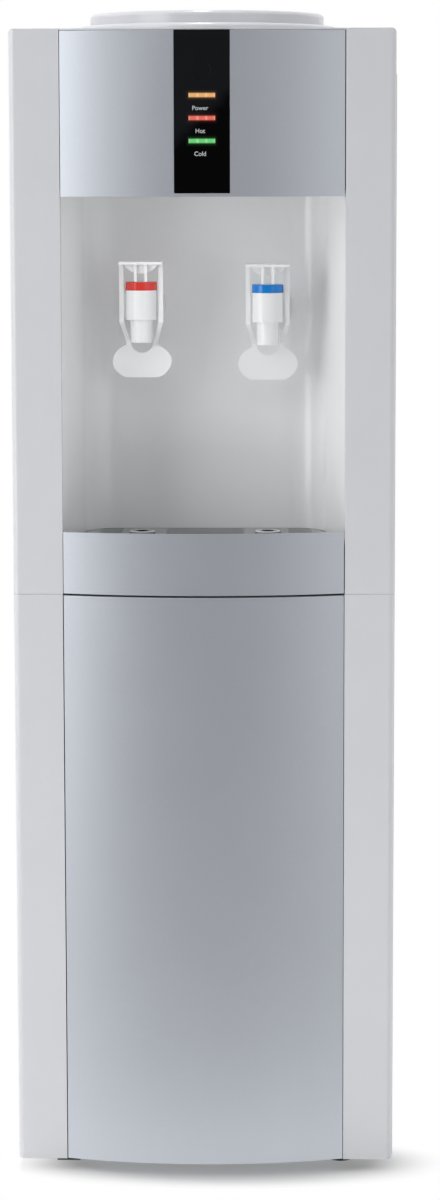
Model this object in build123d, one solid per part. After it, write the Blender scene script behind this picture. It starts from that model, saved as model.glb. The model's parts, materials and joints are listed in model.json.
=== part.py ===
from build123d import *
import math
import os

# Floor-standing water cooler. Millimetres, +Z up, front towards -Y,
# origin on the floor under the middle of the overall box.

# Cabinet
cabinet_width = 310.0
cabinet_depth = 300.0
condenser_reach = 36.0
foot_height = 12.0
cabinet_top_z = 940.0
seam_z = 485.3
frame_seam = 1.0
strip_width = 40.0
frame_wall = 3.0
frame_outer_return = 24.0
frame_inner_return = 10.0
frame_edge_radius = 5.0
top_corner_radius = 4.0
sheet = 0.8
side_panel_drop = 36.0
side_panel_front_gap = 14.0
sheet_flange = 12.0
base_sheet = 1.2
base_flange = 15.0
foot_radius = 11.0
foot_stud_radius = 4.0
foot_inset_x = 42.0
foot_inset_front = 45.0
foot_inset_back = 32.0
contact_gap = 0.3
cut_margin = 1.0

# Bowed silver panels
panel_bulge = 17.5
panel_gap = 1.0
panel_wall = 2.5
fascia_height = 131.2
fascia_depth = 9.4
top_lip = 1.6
top_lip_setback = 1.0
tray_rise = 1.5
tray_height = 49.8
tray_front_wall = 3.0
door_bottom_z = 12.6
door_top_gap = 0.4
door_depth = 15.0
door_liner_wall = 2.5

# Display
window_width = 44.8
window_margin = 2.6
window_wall = 2.5
window_gap = 0.15
sensor_drop = 33.5
sensor_radius = 7.0
sensor_recess = 0.5
lamp_width = 21.2
lamp_height = 4.7
lamp_drop = 53.1
lamp_pitch = 18.0
lamp_gap = 0.12
lamp_recess = 0.2
board_wall = 1.6
board_stand_off = 9.0
board_width = 40.0
board_margin = 8.0
board_post_radius = 2.5
board_post_gap = 0.9
led_block_width = 18.0
led_block_height = 3.6
led_block_depth = 4.0

# Dispensing niche
niche_flare = 2.0
niche_taper = 21.0
niche_depth = 105.0
niche_corner_radius = 28.0
niche_wall = 2.5
niche_floor_wall = 2.2

# Drip tray
basin_wall = 2.0
basin_floor = 2.2
basin_side_gap = 1.8
grille_ledge = 2.0
grille_wall = 2.5
grille_gap = 0.4
grille_drop = 7.8
slot_width = 4.0
slot_pitch = 9.0
slot_length = 66.0
side_slot_length = 20.0
side_slot_inset = 6.0
slot_rows = 10
slot_front_inset = 14.0
collar_radius = 10.8
collar_hole_radius = 5.0
collar_height = 2.4
collar_edge_radius = 1.0

# Bottle seat
seat_y = 28.0
seat_ring_radius = 99.3
seat_flange_radius = 109.8
seat_rise = 18.4
seat_flange_wall = 8.0
seat_ring_wall = 10.5
seat_edge_radius = 3.6
seat_wall = 3.0
seat_neck_radius = 30.0
seat_lip = 5.4
seat_bowl_depth = 39.0
seat_neck_length = 18.0
seat_rim_pocket = 4.0
cover_wall = 3.0
cover_hole_gap = 1.0
probe_gap = 0.5
probe_flange_radius = 18.0
probe_flange_wall = 2.0
probe_radius = 9.5
probe_bore_radius = 6.5
probe_shoulder_height = 35.0
probe_tip_height = 47.0
probe_tip_radius = 4.0
probe_window_width = 6.0
probe_window_rise = 10.0
probe_window_height = 20.0

# Taps
tap_inset = 44.0
tap_setback = 60.0
tap_drop = 69.9
cold_tap_drop = 2.2
cap_height = 7.0
tap_radius = 12.9
chamber_radius = 9.6
body_height = 24.0
spout_radius = 9.1
spout_bore_radius = 5.5
spout_height = 18.7
chamber_floor = 1.8
inlet_drop = 20.5
inlet_radius = 8.0
inlet_bore_radius = 4.5
inlet_reach = 13.0
escutcheon_radius = 18.6
escutcheon_wall = 3.0
nut_across_flats = 24.0
nut_height = 8.0
thread_gap = 0.15
stem_radius = 4.8
stem_gap = 0.3
stem_head_radius = 8.0
stem_head_wall = 2.0
stem_ear_wall = 2.2
stem_ear_gap = 6.4
stem_ear_half_depth = 3.6
ear_top_drop = 1.2
seal_radius = 8.6
seal_wall = 3.2
seal_gap = 0.2
spring_outer_radius = 7.6
spring_inner_radius = 6.2

# Tap levers
pivot_height = 10.6
pivot_radius = 1.5
pivot_clearance = 0.08
lever_top_height = 16.5
lever_plate_wall = 2.2
lever_plate_depth = 26.0
lever_plate_back = 10.0
lever_width = 36.0
lever_arm_width = 3.8
lever_arm_depth = 6.0
lever_arm_straight = 33.0
lever_sweep_back = 12.0
lever_paddle_wall = 2.6
paddle_width = 48.8
paddle_height = 32.2
paddle_bottom = 79.4
paddle_flat = 28.0
notch_radius = 9.4
notch_bottom = 59.0
apron_half = 14.0
apron_drop = 7.6
apron_wall = 1.6
apron_setback = 8.4
heel_setback = 11.4
heel_depth = 2.2
lug_wall = 2.4
lug_gap = 0.4
lug_drop = 2.6

# Door hinges, catch and storage
hinge_inset = 6.0
hinge_setback = 3.0
hinge_pin_radius = 1.5
hinge_pin_clearance = 0.06
hinge_pin_length = 10.0
hinge_bore_extra = 2.0
hinge_boss_radius = 4.4
upper_hinge_wall = 1.0
upper_hinge_width = 14.0
lower_hinge_wall = 1.5
lower_hinge_lap = 8.0
lower_hinge_width = 19.0
lower_hinge_depth = 27.0
door_frame_gap = 3.0
door_bar_wall = 6.0
door_bar_height = 16.0
catch_width = 30.0
catch_height = 10.0
strike_wall = 0.8
liner_wall = 2.0
liner_rear_gap = 16.0
liner_side_gap = 3.0

# Tanks
cold_tank_wall = 1.0
coil_wall = 5.6
coil_gap = 0.3
cold_foam_wall = 10.0
cold_foam_gap = 3.0
cold_foam_floor = 16.0
hot_tank_wall = 1.0
hot_foam_width = 130.0
hot_foam_wall = 5.0
hot_foam_floor = 20.0
hot_tank_height = 150.0
shelf_z = 500.0
shelf_flange = 14.0
shelf_front_gap = 2.5
thermostat_radius = 8.0
thermostat_height = 9.0
thermostat_pitch = 40.0
thermostat_window_gap = 2.0
hose_radius = 5.0
hose_bore_radius = 3.2
hose_bend = 8.0
hose_lead = 18.0
hose_end_run = 15.0
hose_side_run = 24.0
hose_drop = 35.0

# Drain
drain_offset = 12.0
drain_z = 212.0
drain_radius = 8.0
drain_bore_radius = 5.0
drain_flange_radius = 13.0
drain_flange_wall = 3.0
drain_reach = 18.0
drain_tail = 10.0
drain_run = 17.0
drain_cap_wall = 2.5

# Refrigeration
discharge_run = 22.0
compressor_setback = 71.0
compressor_radius = 60.0
compressor_height = 160.0
compressor_dome = 40.0
compressor_foot_width = 134.0
compressor_foot_depth = 112.0
compressor_foot_wall = 2.5
grommet_radius = 9.0
grommet_height = 11.8
grommet_inset = 12.0
relay_width = 22.0
relay_depth = 30.0
relay_height = 40.0
relay_z = 95.0
pipe_radius = 3.0
pipe_bend = 10.0
pipe_hole_gap = 1.0
suction_offset = 20.0
suction_stub_z = 198.0
condenser_bottom_z = 250.0
condenser_head_room = 54.0
condenser_runs = 13
condenser_side_gap = 50.0
condenser_tail_inset = 43.0
condenser_tail = 15.0
condenser_end_bend = 13.0
condenser_bend_gap = 0.2
condenser_tube_radius = 2.4
condenser_wire_radius = 0.8
condenser_wires = 11
condenser_wire_inset = 15.0
condenser_wire_overhang = 8.0
weld_gap = 0.04
post_width = 8.0
drier_radius = 8.0
drier_length = 62.0
drier_setback = 18.0
drier_top_drop = 22.0
discharge_z = 120.0
suction_pipe_inset = 55.0
suction_rise = 20.0
suction_level_z = 215.0
capillary_rise = 60.0
pipe_end_run = 13.0

# Rear switches and gland
switch_drop = 62.0
switch_x = 45.0
switch_pitch = 32.0
switch_bezel_width = 17.0
switch_bezel_height = 21.0
switch_bezel_wall = 2.0
switch_body_width = 14.0
switch_body_height = 18.6
switch_body_depth = 16.0
switch_gap = 0.3
rocker_radius = 7.5
rocker_width = 10.0
rocker_angle = 8.0
rocker_hollow = 2.4
rocker_lift = 1.2
rocker_back = 4.0
rocker_pin_radius = 1.0
rocker_pin_clearance = 0.08
rocker_pin_reach = 1.0
gland_inset = 40.0
gland_z = 62.0
gland_radius = 6.5
gland_bore_radius = 3.8
gland_flange_radius = 10.0
gland_flange_wall = 3.0
gland_nose_length = 12.0
gland_nose_radius = 5.4
vent_rows = 6
vent_pitch = 16.0
vent_length = 80.0
vent_width = 5.0
vent_bottom_z = 90.0

# Derived places
half_width = cabinet_width / 2
front_y = panel_bulge - (panel_bulge + cabinet_depth + condenser_reach) / 2
back_y = front_y + cabinet_depth
panel_half = half_width - strip_width
bow_radius = (panel_half ** 2 + panel_bulge ** 2) / (2 * panel_bulge)
bow_centre_y = front_y - panel_bulge + bow_radius
bow_apex_y = front_y - panel_bulge
frame_back_y = front_y + frame_outer_return
back_panel_y = back_y - 2 * sheet
lip_bottom_z = cabinet_top_z - top_lip
upper_bottom_z = seam_z + frame_seam / 2
lower_top_z = seam_z - frame_seam / 2
door_top_z = seam_z - door_top_gap
tray_bottom_z = seam_z + tray_rise
tray_top_z = tray_bottom_z + tray_height
side_panel_top_z = cabinet_top_z - side_panel_drop
fascia_top_z = lip_bottom_z - contact_gap
fascia_bottom_z = fascia_top_z - fascia_height
sensor_z = cabinet_top_z - sensor_drop
lamp_top_z = cabinet_top_z - lamp_drop
seat_top_z = cabinet_top_z + seat_rise
seat_bowl_z = seat_top_z - seat_lip
seat_neck_top_z = seat_bowl_z - seat_bowl_depth
seat_floor_z = seat_neck_top_z - seat_neck_length
probe_shoulder_z = seat_floor_z + probe_shoulder_height
probe_tip_z = seat_floor_z + probe_tip_height
probe_window_z = seat_floor_z + probe_window_rise
window_bottom_z = fascia_bottom_z + window_margin
niche_back_y = front_y + niche_depth
niche_floor_z = tray_bottom_z - contact_gap
basin_bottom_z = niche_floor_z + niche_floor_wall + contact_gap
grille_top_z = tray_top_z - grille_drop
grille_bottom_z = grille_top_z - grille_wall
tap_y = front_y + tap_setback
tap_cap_top_z = fascia_bottom_z - tap_drop
niche_front_half = panel_half + niche_flare
niche_back_half = niche_front_half - niche_taper
tap_x = niche_back_half - tap_inset
lever_neck_half = notch_radius + lever_arm_width
lever_neck_z = notch_bottom - notch_radius
hinge_x = -(panel_half - panel_gap - hinge_inset)
hinge_y = front_y + hinge_setback
door_bar_y = front_y + door_depth + door_frame_gap
liner_front_y = door_bar_y + door_bar_wall
base_top_z = foot_height + base_sheet
compressor_y = back_panel_y - compressor_setback
liner_rear_y = compressor_y - compressor_radius - liner_rear_gap
tap_rear_y = niche_back_y + niche_wall + inlet_reach
hose_drop_y = tap_rear_y + hose_lead
hot_foam_front_y = hose_drop_y + hose_end_run
drain_hose_y = back_panel_y - drain_tail - drain_run
hot_foam_rear_y = drain_hose_y - hose_lead
tank_y = (hot_foam_front_y + hot_foam_rear_y) / 2
hot_tank_radius = (hot_foam_rear_y - hot_foam_front_y) / 2 - hot_foam_wall
cold_foam_radius = math.hypot(tap_x, tank_y - hose_drop_y) - hose_radius - cold_foam_gap
cold_foam_bottom_z = shelf_z + 2 * hot_foam_floor + hot_tank_height
hose_drop_z = cold_foam_bottom_z - hose_drop
suction_z = cold_foam_bottom_z + suction_rise
capillary_z = cold_foam_bottom_z + capillary_rise
drain_x = drain_offset - tap_x
coil_outer_radius = cold_foam_radius - cold_foam_wall - coil_gap
cold_tank_radius = coil_outer_radius - coil_wall - coil_gap
condenser_half_width = half_width - condenser_side_gap
condenser_wire_span = 2 * (condenser_half_width - condenser_wire_inset)
condenser_tail_x = half_width - condenser_tail_inset
compressor_x = condenser_tail_x - compressor_radius - discharge_run
suction_x = compressor_x + suction_offset
drier_x = -condenser_tail_x
drier_y = back_panel_y - drier_setback
suction_pipe_x = half_width - suction_pipe_inset
gland_x = gland_inset - half_width
condenser_y = back_y + condenser_reach - 2 * condenser_wire_radius - condenser_tube_radius - weld_gap
condenser_top_z = side_panel_top_z - condenser_head_room
condenser_pitch = (condenser_top_z - condenser_bottom_z) / (condenser_runs - 1)
rear_face_y = back_y - sheet
compressor_bottom_z = base_top_z + grommet_height + compressor_foot_wall
pipe_out_z = condenser_bottom_z - condenser_tail - pipe_end_run
pipe_in_z = condenser_top_z + condenser_tail + pipe_end_run
drier_top_z = pipe_in_z - drier_top_drop
switch_z = cabinet_top_z - switch_drop
switch_places = {"hot": switch_x, "cold": switch_x + switch_pitch}


def block(x0, x1, y0, y1, z0, z1):
    """Box between two corners."""
    return Pos((x0 + x1) / 2, (y0 + y1) / 2, (z0 + z1) / 2) * Box(x1 - x0, y1 - y0, z1 - z0)


def post_z(radius, x, y, z0, z1):
    """Upright cylinder."""
    return Pos(x, y, (z0 + z1) / 2) * Cylinder(radius, z1 - z0)


def post_y(radius, x, z, y0, y1):
    """Cylinder that runs front to back."""
    return Pos(x, (y0 + y1) / 2, z) * Rot(90, 0, 0) * Cylinder(radius, y1 - y0)


def post_x(radius, y, z, x0, x1):
    """Cylinder that runs from side to side."""
    return Pos((x0 + x1) / 2, y, z) * Rot(0, 90, 0) * Cylinder(radius, x1 - x0)


def tube_along(points, radius, bore, bend):
    """Round tube along straight runs joined by tangent arcs."""
    path = FilletPolyline(*points, radius=bend)
    start = Plane(origin=path @ 0, z_dir=path % 0)
    section = Circle(radius) - Circle(bore) if bore else Circle(radius)
    return sweep(start * section, path=path)


def bowed_plan(half, plan_back_y, inset=0.0):
    """Plan of a bowed panel: the bow's disc between two sides and a straight back."""
    front_edge = bow_apex_y - panel_bulge
    window = Pos(0, (front_edge + plan_back_y) / 2) * Rectangle(2 * half, plan_back_y - front_edge)
    return Pos(0, bow_centre_y) * Circle(bow_radius - inset) & window


def bowed_slab(half, plan_back_y, z0, z1, inset=0.0):
    """Bowed panel plan raised between two heights."""
    return Pos(0, 0, z0) * extrude(bowed_plan(half, plan_back_y, inset), z1 - z0)


def niche_plan(grow, plan_front_y):
    """Plan of the niche: tapering sides and wide back corners, grown by a wall."""
    taper = (niche_front_half - niche_back_half) / niche_depth
    front_half = niche_front_half - taper * (plan_front_y - front_y) + grow
    back_half = niche_back_half + grow
    rear = niche_back_y + grow
    outline = Polyline(
        (-front_half, plan_front_y), (front_half, plan_front_y),
        (back_half, rear), (-back_half, rear), close=True
    )
    face = make_face(outline)
    corners = face.vertices().sort_by(Axis.Y)[-2:]
    return fillet(corners, niche_corner_radius + grow)


def write(name, shape):
    export_step(shape, f"parts/{name}.step")


def group(pieces):
    return Compound(children=list(pieces))


# Cabinet


def make_base_plate():
    side = half_width - frame_wall
    tray = block(-side, side, frame_back_y, back_panel_y, foot_height, foot_height + base_flange)
    hollow = block(
        -side + base_sheet, side - base_sheet, frame_back_y + base_sheet, back_panel_y - base_sheet,
        base_top_z, foot_height + base_flange + cut_margin,
    )
    return tray - hollow


def foot_places():
    side = half_width - foot_inset_x
    rows = (front_y + foot_inset_front, back_y - foot_inset_back)
    return [(x, y) for x in (-side, side) for y in rows]


def make_feet():
    feet = []
    for x, y in foot_places():
        pad_height = foot_height / 2
        pad = post_z(foot_radius, x, y, 0, pad_height)
        pad = chamfer(pad.edges().sort_by(Axis.Z)[-1], pad_height / 3)
        feet.append(pad + post_z(foot_stud_radius, x, y, pad_height, foot_height))
    return group(feet)


def make_side_panel(sign):
    inner = half_width
    front = front_y + side_panel_front_gap
    wall = block(inner, inner + sheet, front, back_y, foot_height, side_panel_top_z)
    flange = block(inner - sheet_flange, inner + sheet, back_y - sheet, back_y, foot_height, side_panel_top_z)
    panel = wall + flange
    return panel if sign > 0 else mirror(panel, about=Plane.YZ)


def make_back_panel():
    side = half_width - sheet
    panel = block(-side, side, back_panel_y, back_panel_y + sheet, foot_height, side_panel_top_z)
    cut = 3 * sheet
    for x in switch_places.values():
        half_w = switch_body_width / 2 + switch_gap
        half_h = switch_body_height / 2 + switch_gap
        low, high = switch_z - half_h, switch_z + half_h
        panel -= block(x - half_w, x + half_w, back_panel_y - cut, back_y + cut, low, high)
    panel -= post_y(drain_radius + contact_gap, drain_x, drain_z, back_panel_y - cut, back_y + cut)
    panel -= post_y(gland_radius + contact_gap, gland_x, gland_z, back_panel_y - cut, back_y + cut)
    for x, z in ((condenser_tail_x, pipe_out_z), (drier_x, pipe_in_z)):
        panel -= post_y(pipe_radius + pipe_hole_gap, x, z, back_panel_y - cut, back_y + cut)
    for row in range(vent_rows):
        z = vent_bottom_z + row * vent_pitch
        for centre in (-vent_length / 2 - vent_pitch / 2, vent_length / 2 + vent_pitch / 2):
            slot = extrude(SlotOverall(vent_length, vent_width), 2 * cut, both=True)
            panel -= Pos(compressor_x + centre, back_panel_y, z) * Rot(90, 0, 0) * slot
    return panel


def strip_plan():
    """Channel section of one front strip, on the right-hand side."""
    outer = Pos(half_width - strip_width / 2, front_y + frame_outer_return / 2)
    section = outer * Rectangle(strip_width, frame_outer_return)
    corner = section.vertices().sort_by(Axis.Y)[:2].sort_by(Axis.X)[-1]
    section = fillet(corner, frame_edge_radius)
    pocket_back = front_y + 2 * frame_outer_return
    pocket_front = front_y + frame_wall
    pocket = Pos(half_width - strip_width / 2, (pocket_front + pocket_back) / 2)
    section -= pocket * Rectangle(strip_width - 2 * frame_wall, pocket_back - pocket_front)
    inner_edge = panel_half + frame_wall / 2
    trim_front = front_y + frame_inner_return
    trim = Pos(inner_edge, (trim_front + pocket_back) / 2) * Rectangle(frame_wall, pocket_back - trim_front)
    return section - trim


def cabinet_silhouette():
    """Front outline with rounded top corners, as a prism through the cabinet."""
    outline = Pos(0, cabinet_top_z / 2) * Rectangle(cabinet_width, cabinet_top_z)
    outline = fillet(outline.vertices().group_by(Axis.Y)[-1], top_corner_radius)
    return extrude(Plane.XZ * outline, cabinet_depth, both=True)


def strips(z0, z1):
    right = Pos(0, 0, z0) * extrude(strip_plan(), z1 - z0)
    return right + mirror(right, about=Plane.YZ)


def make_upper_front_frame():
    frame = strips(upper_bottom_z, cabinet_top_z)
    lip = bowed_slab(panel_half, frame_back_y, lip_bottom_z, cabinet_top_z, top_lip_setback)
    caps = block(
        -half_width + frame_wall, half_width - frame_wall, front_y + frame_wall, frame_back_y,
        lip_bottom_z, cabinet_top_z,
    )
    bar_y = front_y + fascia_depth + contact_gap
    bar = block(
        -panel_half - frame_wall, panel_half + frame_wall, bar_y, bar_y + frame_wall,
        side_panel_top_z, lip_bottom_z,
    )
    tie = block(
        -half_width + frame_wall, half_width - frame_wall, frame_back_y - frame_wall, frame_back_y,
        side_panel_top_z, lip_bottom_z,
    )
    return (frame + lip + caps + bar + tie) & cabinet_silhouette()


def make_lower_front_frame():
    frame = strips(foot_height, lower_top_z)
    side = panel_half + frame_wall
    bar_bottom = door_top_z - door_bar_height
    top_bar = block(-side, side, door_bar_y, liner_front_y, bar_bottom, door_top_z + contact_gap)
    low_bar_top = foot_height + door_bar_height + frame_wall
    low_bar = block(-side, side, door_bar_y, liner_front_y, foot_height, low_bar_top)
    web = block(panel_half, side, front_y + frame_wall, liner_front_y, foot_height, lower_top_z)
    return frame + top_bar + low_bar + web + mirror(web, about=Plane.YZ)


def make_top_cover():
    outer = block(-half_width, half_width, frame_back_y, back_y, side_panel_top_z, cabinet_top_z)
    outer &= cabinet_silhouette()
    inside = half_width - cover_wall
    hollow = block(
        -inside, inside, frame_back_y - cut_margin, back_y - cover_wall,
        side_panel_top_z - cut_margin, cabinet_top_z - cover_wall,
    )
    hole_radius = seat_ring_radius - seat_rim_pocket + cover_hole_gap
    hole = post_z(hole_radius, 0, seat_y, side_panel_top_z, cabinet_top_z + cut_margin)
    return outer - hollow - hole


def bowl_slope():
    return (seat_bowl_z - seat_neck_top_z) / (seat_ring_radius - seat_ring_wall - seat_neck_radius)


def bowl_underside(radius):
    """Height of the bowl's underside at a distance from the seat's axis."""
    drop = seat_wall * math.hypot(1, bowl_slope())
    return seat_neck_top_z + bowl_slope() * (radius - seat_neck_radius) - drop


def make_bottle_seat():
    """Collar, sloping bowl and neck socket as one turned section."""
    inner_rim = seat_ring_radius - seat_ring_wall
    neck_out = seat_neck_radius + seat_wall
    pocket = seat_ring_radius - seat_rim_pocket
    rim_in = pocket - seat_rim_pocket
    flange_top = cabinet_top_z + seat_flange_wall
    hole = probe_radius + probe_gap
    under = seat_floor_z - seat_wall
    points = [
        (hole, seat_floor_z), (seat_neck_radius, seat_floor_z), (seat_neck_radius, seat_neck_top_z),
        (inner_rim, seat_bowl_z), (inner_rim, seat_top_z), (seat_ring_radius, seat_top_z),
        (seat_ring_radius, flange_top), (seat_flange_radius, flange_top), (seat_flange_radius, cabinet_top_z),
        (pocket, cabinet_top_z), (pocket, bowl_underside(rim_in)), (rim_in, bowl_underside(rim_in)),
        (neck_out, bowl_underside(neck_out)), (neck_out, under), (hole, under),
    ]
    section = make_face(Polyline(*points, close=True))
    top_corners = section.vertices().group_by(Axis.Y)[-1]
    section = fillet(top_corners, seat_edge_radius)
    flange_corner = section.vertices().sort_by(Axis.X)[-2:].sort_by(Axis.Y)[-1]
    section = fillet(flange_corner, seat_edge_radius)
    return Pos(0, seat_y, 0) * revolve(Plane.XZ * section, Axis.Z)


def make_feed_probe():
    points = [
        (probe_bore_radius, seat_floor_z - seat_wall), (probe_radius, seat_floor_z - seat_wall),
        (probe_radius, seat_floor_z), (probe_flange_radius, seat_floor_z),
        (probe_flange_radius, seat_floor_z + probe_flange_wall),
        (probe_radius, seat_floor_z + probe_flange_wall),
        (probe_radius, probe_shoulder_z), (probe_tip_radius, probe_tip_z), (0, probe_tip_z),
        (0, probe_shoulder_z), (probe_bore_radius, probe_shoulder_z),
    ]
    probe = revolve(Plane.XZ * make_face(Polyline(*points, close=True)), Axis.Z)
    half = probe_window_width / 2
    reach = 2 * probe_radius
    window_top = probe_window_z + probe_window_height
    probe -= block(-half, half, -reach, reach, probe_window_z, window_top)
    probe -= block(-reach, reach, -half, half, probe_window_z, window_top)
    return Pos(0, seat_y, 0) * probe


# Fascia and display


def make_top_fascia():
    half = panel_half - panel_gap
    depth_y = front_y + fascia_depth
    shell = bowed_slab(half, depth_y, fascia_bottom_z, fascia_top_z)
    shell -= bowed_slab(
        half - panel_wall, depth_y + cut_margin, fascia_bottom_z + panel_wall,
        fascia_top_z - panel_wall, panel_wall,
    )
    slot_half = window_width / 2
    slot_back = bow_apex_y + 2 * panel_wall + window_wall
    cut_front = bow_apex_y - cut_margin
    return shell - block(-slot_half, slot_half, cut_front, slot_back, window_bottom_z, cabinet_top_z)


def lamp_places():
    names = ("power", "hot", "cold")
    return {name: lamp_top_z - index * lamp_pitch for index, name in enumerate(names)}


def make_display_window():
    half = window_width / 2 - window_gap
    behind = bow_apex_y + 4 * window_wall
    low = window_bottom_z + window_gap
    cut_front = bow_apex_y - cut_margin
    window = bowed_slab(half, behind, low, fascia_top_z)
    window -= bowed_slab(half, behind, low, fascia_top_z, window_wall)
    for z in lamp_places().values():
        side = lamp_width / 2
        window -= block(-side, side, cut_front, behind, z - lamp_height / 2, z + lamp_height / 2)
    return window - post_y(sensor_radius, 0, sensor_z, cut_front, bow_apex_y + sensor_recess)


def lamp_back_y():
    """Where the lamp lenses meet the light blocks on the board."""
    return bow_apex_y + board_stand_off - led_block_depth


def make_lamp_lens(z):
    half = lamp_width / 2 - lamp_gap
    low = z - lamp_height / 2 + lamp_gap
    high = z + lamp_height / 2 - lamp_gap
    return bowed_slab(half, lamp_back_y(), low, high, lamp_recess)


def make_control_board():
    lamps = list(lamp_places().values())
    low = lamps[-1] - lamp_height - board_margin
    high = sensor_z + board_margin
    face_y = bow_apex_y + board_stand_off
    half = board_width / 2
    board = block(-half, half, face_y, face_y + board_wall, low, high)
    for z in lamps:
        side = led_block_width / 2
        tall = led_block_height / 2
        board += block(-side, side, lamp_back_y(), face_y, z - tall, z + tall)
    post_reach = bow_apex_y + window_wall + board_post_gap
    for x in (-half + 2 * board_post_radius, half - 2 * board_post_radius):
        for z in (low + 2 * board_post_radius, high - 2 * board_post_radius):
            board += post_y(board_post_radius, x, z, post_reach, face_y)
    return board


# Dispensing niche


def tap_places():
    return {"hot": (-tap_x, tap_cap_top_z), "cold": (tap_x, tap_cap_top_z - cold_tap_drop)}


def make_dispensing_niche():
    start = front_y + frame_inner_return
    ceiling_z = fascia_bottom_z + panel_wall
    outer = Pos(0, 0, niche_floor_z) * extrude(
        niche_plan(niche_wall, start), ceiling_z + niche_wall - niche_floor_z
    )
    hollow_bottom = niche_floor_z + niche_floor_wall
    hollow = Pos(0, 0, hollow_bottom) * extrude(niche_plan(0, start - cut_margin), ceiling_z - hollow_bottom)
    niche = outer - hollow
    for x, cap_z in tap_places().values():
        rear = niche_back_y + 2 * niche_wall
        niche -= post_y(inlet_radius + contact_gap, x, cap_z - inlet_drop, niche_back_y - cut_margin, rear)
    return niche


# Drip tray


def tray_plan():
    """Plan of the basin: the bow in front, the niche behind."""
    half = panel_half - panel_gap - basin_side_gap
    joint_y = front_y + frame_inner_return
    front = bowed_plan(half, joint_y, tray_front_wall)
    rear = niche_plan(-basin_side_gap, joint_y - cut_margin)
    return front + rear


def make_tray_front():
    half = panel_half - panel_gap
    behind = front_y + tray_front_wall
    plate = bowed_slab(half, behind, tray_bottom_z, tray_top_z)
    return plate - bowed_slab(half, behind + cut_margin, tray_bottom_z, tray_top_z, tray_front_wall)


def make_drip_basin():
    plan = tray_plan()
    rim_z = grille_top_z
    basin = Pos(0, 0, basin_bottom_z) * extrude(plan, rim_z - basin_bottom_z)
    floor_z = basin_bottom_z + basin_floor
    ledge_z = grille_bottom_z - contact_gap
    basin -= Pos(0, 0, floor_z) * extrude(offset(plan, -basin_wall - grille_ledge), rim_z - floor_z)
    return basin - Pos(0, 0, ledge_z) * extrude(offset(plan, -basin_wall), rim_z - ledge_z)


def slot_cells():
    """Slots of the grille: long ones between the two collars, short ones beside them."""
    side_x = tap_x + collar_radius + side_slot_inset + side_slot_length / 2
    cells = []
    for row in range(slot_rows):
        y = front_y + slot_front_inset + row * slot_pitch
        cells.append(Pos(0, y) * SlotOverall(slot_length, slot_width))
        for x in (-side_x, side_x):
            cells.append(Pos(x, y) * SlotOverall(side_slot_length, slot_width))
    return Sketch(children=cells)


def make_drip_grille():
    plan = offset(tray_plan(), -basin_wall - grille_gap)
    grille = Pos(0, 0, grille_bottom_z) * extrude(plan, grille_wall)
    low = grille_bottom_z - cut_margin
    grille -= Pos(0, 0, low) * extrude(slot_cells(), grille_wall + 2 * cut_margin)
    collar_top = grille_top_z + collar_height
    for x, _ in tap_places().values():
        collar = post_z(collar_radius, x, tap_y, grille_bottom_z, collar_top)
        collar = fillet(collar.edges().sort_by(Axis.Z)[-1], collar_edge_radius)
        grille += collar
        grille -= post_z(collar_hole_radius, x, tap_y, low, collar_top + cut_margin)
    return grille


# Taps


def make_tap_body(x, cap_z):
    top = cap_z - cap_height
    bottom = top - body_height
    inlet_z = cap_z - inlet_drop
    body = post_z(tap_radius, x, tap_y, bottom, top)
    body += post_z(spout_radius, x, tap_y, bottom - spout_height, bottom)
    rear = niche_back_y + niche_wall + inlet_reach
    body += post_y(inlet_radius, x, inlet_z, tap_y, rear)
    body += post_y(escutcheon_radius, x, inlet_z, niche_back_y - escutcheon_wall, niche_back_y)
    body -= post_z(chamber_radius, x, tap_y, bottom + chamber_floor, top)
    body -= post_z(spout_bore_radius, x, tap_y, bottom - spout_height, top)
    return body - post_y(inlet_bore_radius, x, inlet_z, tap_y, rear)


def make_tap_nuts():
    nuts = []
    for x, cap_z in tap_places().values():
        face_y = niche_back_y + niche_wall
        hexagon = RegularPolygon(nut_across_flats / 2, 6, major_radius=False)
        hexagon -= Circle(inlet_radius + thread_gap)
        place = Pos(x, face_y + nut_height, cap_z - inlet_drop) * Rot(90, 0, 0)
        nuts.append(place * extrude(hexagon, nut_height))
    return group(nuts)


def make_tap_cap(x, cap_z):
    cap = post_z(tap_radius, x, tap_y, cap_z - cap_height, cap_z)
    cap = fillet(cap.edges().filter_by(GeomType.CIRCLE).sort_by(Axis.Z)[-1], cap_height / 8)
    return cap - post_z(stem_radius + stem_gap, x, tap_y, cap_z - cap_height, cap_z)


def stem_foot_z(cap_z):
    """Underside of the stem's head, where the seal begins."""
    return cap_z - cap_height - body_height + chamber_floor + seal_gap + seal_wall


def make_tap_stem(x, cap_z):
    foot = stem_foot_z(cap_z)
    pivot_z = cap_z + pivot_height
    ear_top = cap_z + lever_top_height - lever_plate_wall - ear_top_drop
    ear_outer = stem_ear_gap / 2 + stem_ear_wall
    fork = block(
        x - ear_outer, x + ear_outer, tap_y - stem_ear_half_depth, tap_y + stem_ear_half_depth, cap_z, ear_top
    )
    shank = post_z(stem_radius, x, tap_y, foot, cap_z)
    stem = shank + (fork & post_z(2 * stem_radius, x, tap_y, cap_z, ear_top))
    stem -= block(
        x - stem_ear_gap / 2, x + stem_ear_gap / 2,
        tap_y - stem_radius - cut_margin, tap_y + stem_radius + cut_margin,
        cap_z + contact_gap, ear_top,
    )
    stem += post_z(stem_head_radius, x, tap_y, foot, foot + stem_head_wall)
    reach = 2 * stem_radius
    return stem - post_x(pivot_radius + pivot_clearance, tap_y, pivot_z, x - reach, x + reach)


def make_tap_seal(x, cap_z):
    foot = stem_foot_z(cap_z)
    seal = post_z(seal_radius, x, tap_y, foot - seal_wall, foot)
    return chamfer(seal.edges().sort_by(Axis.Z)[0], seal_wall / 4)


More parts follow.
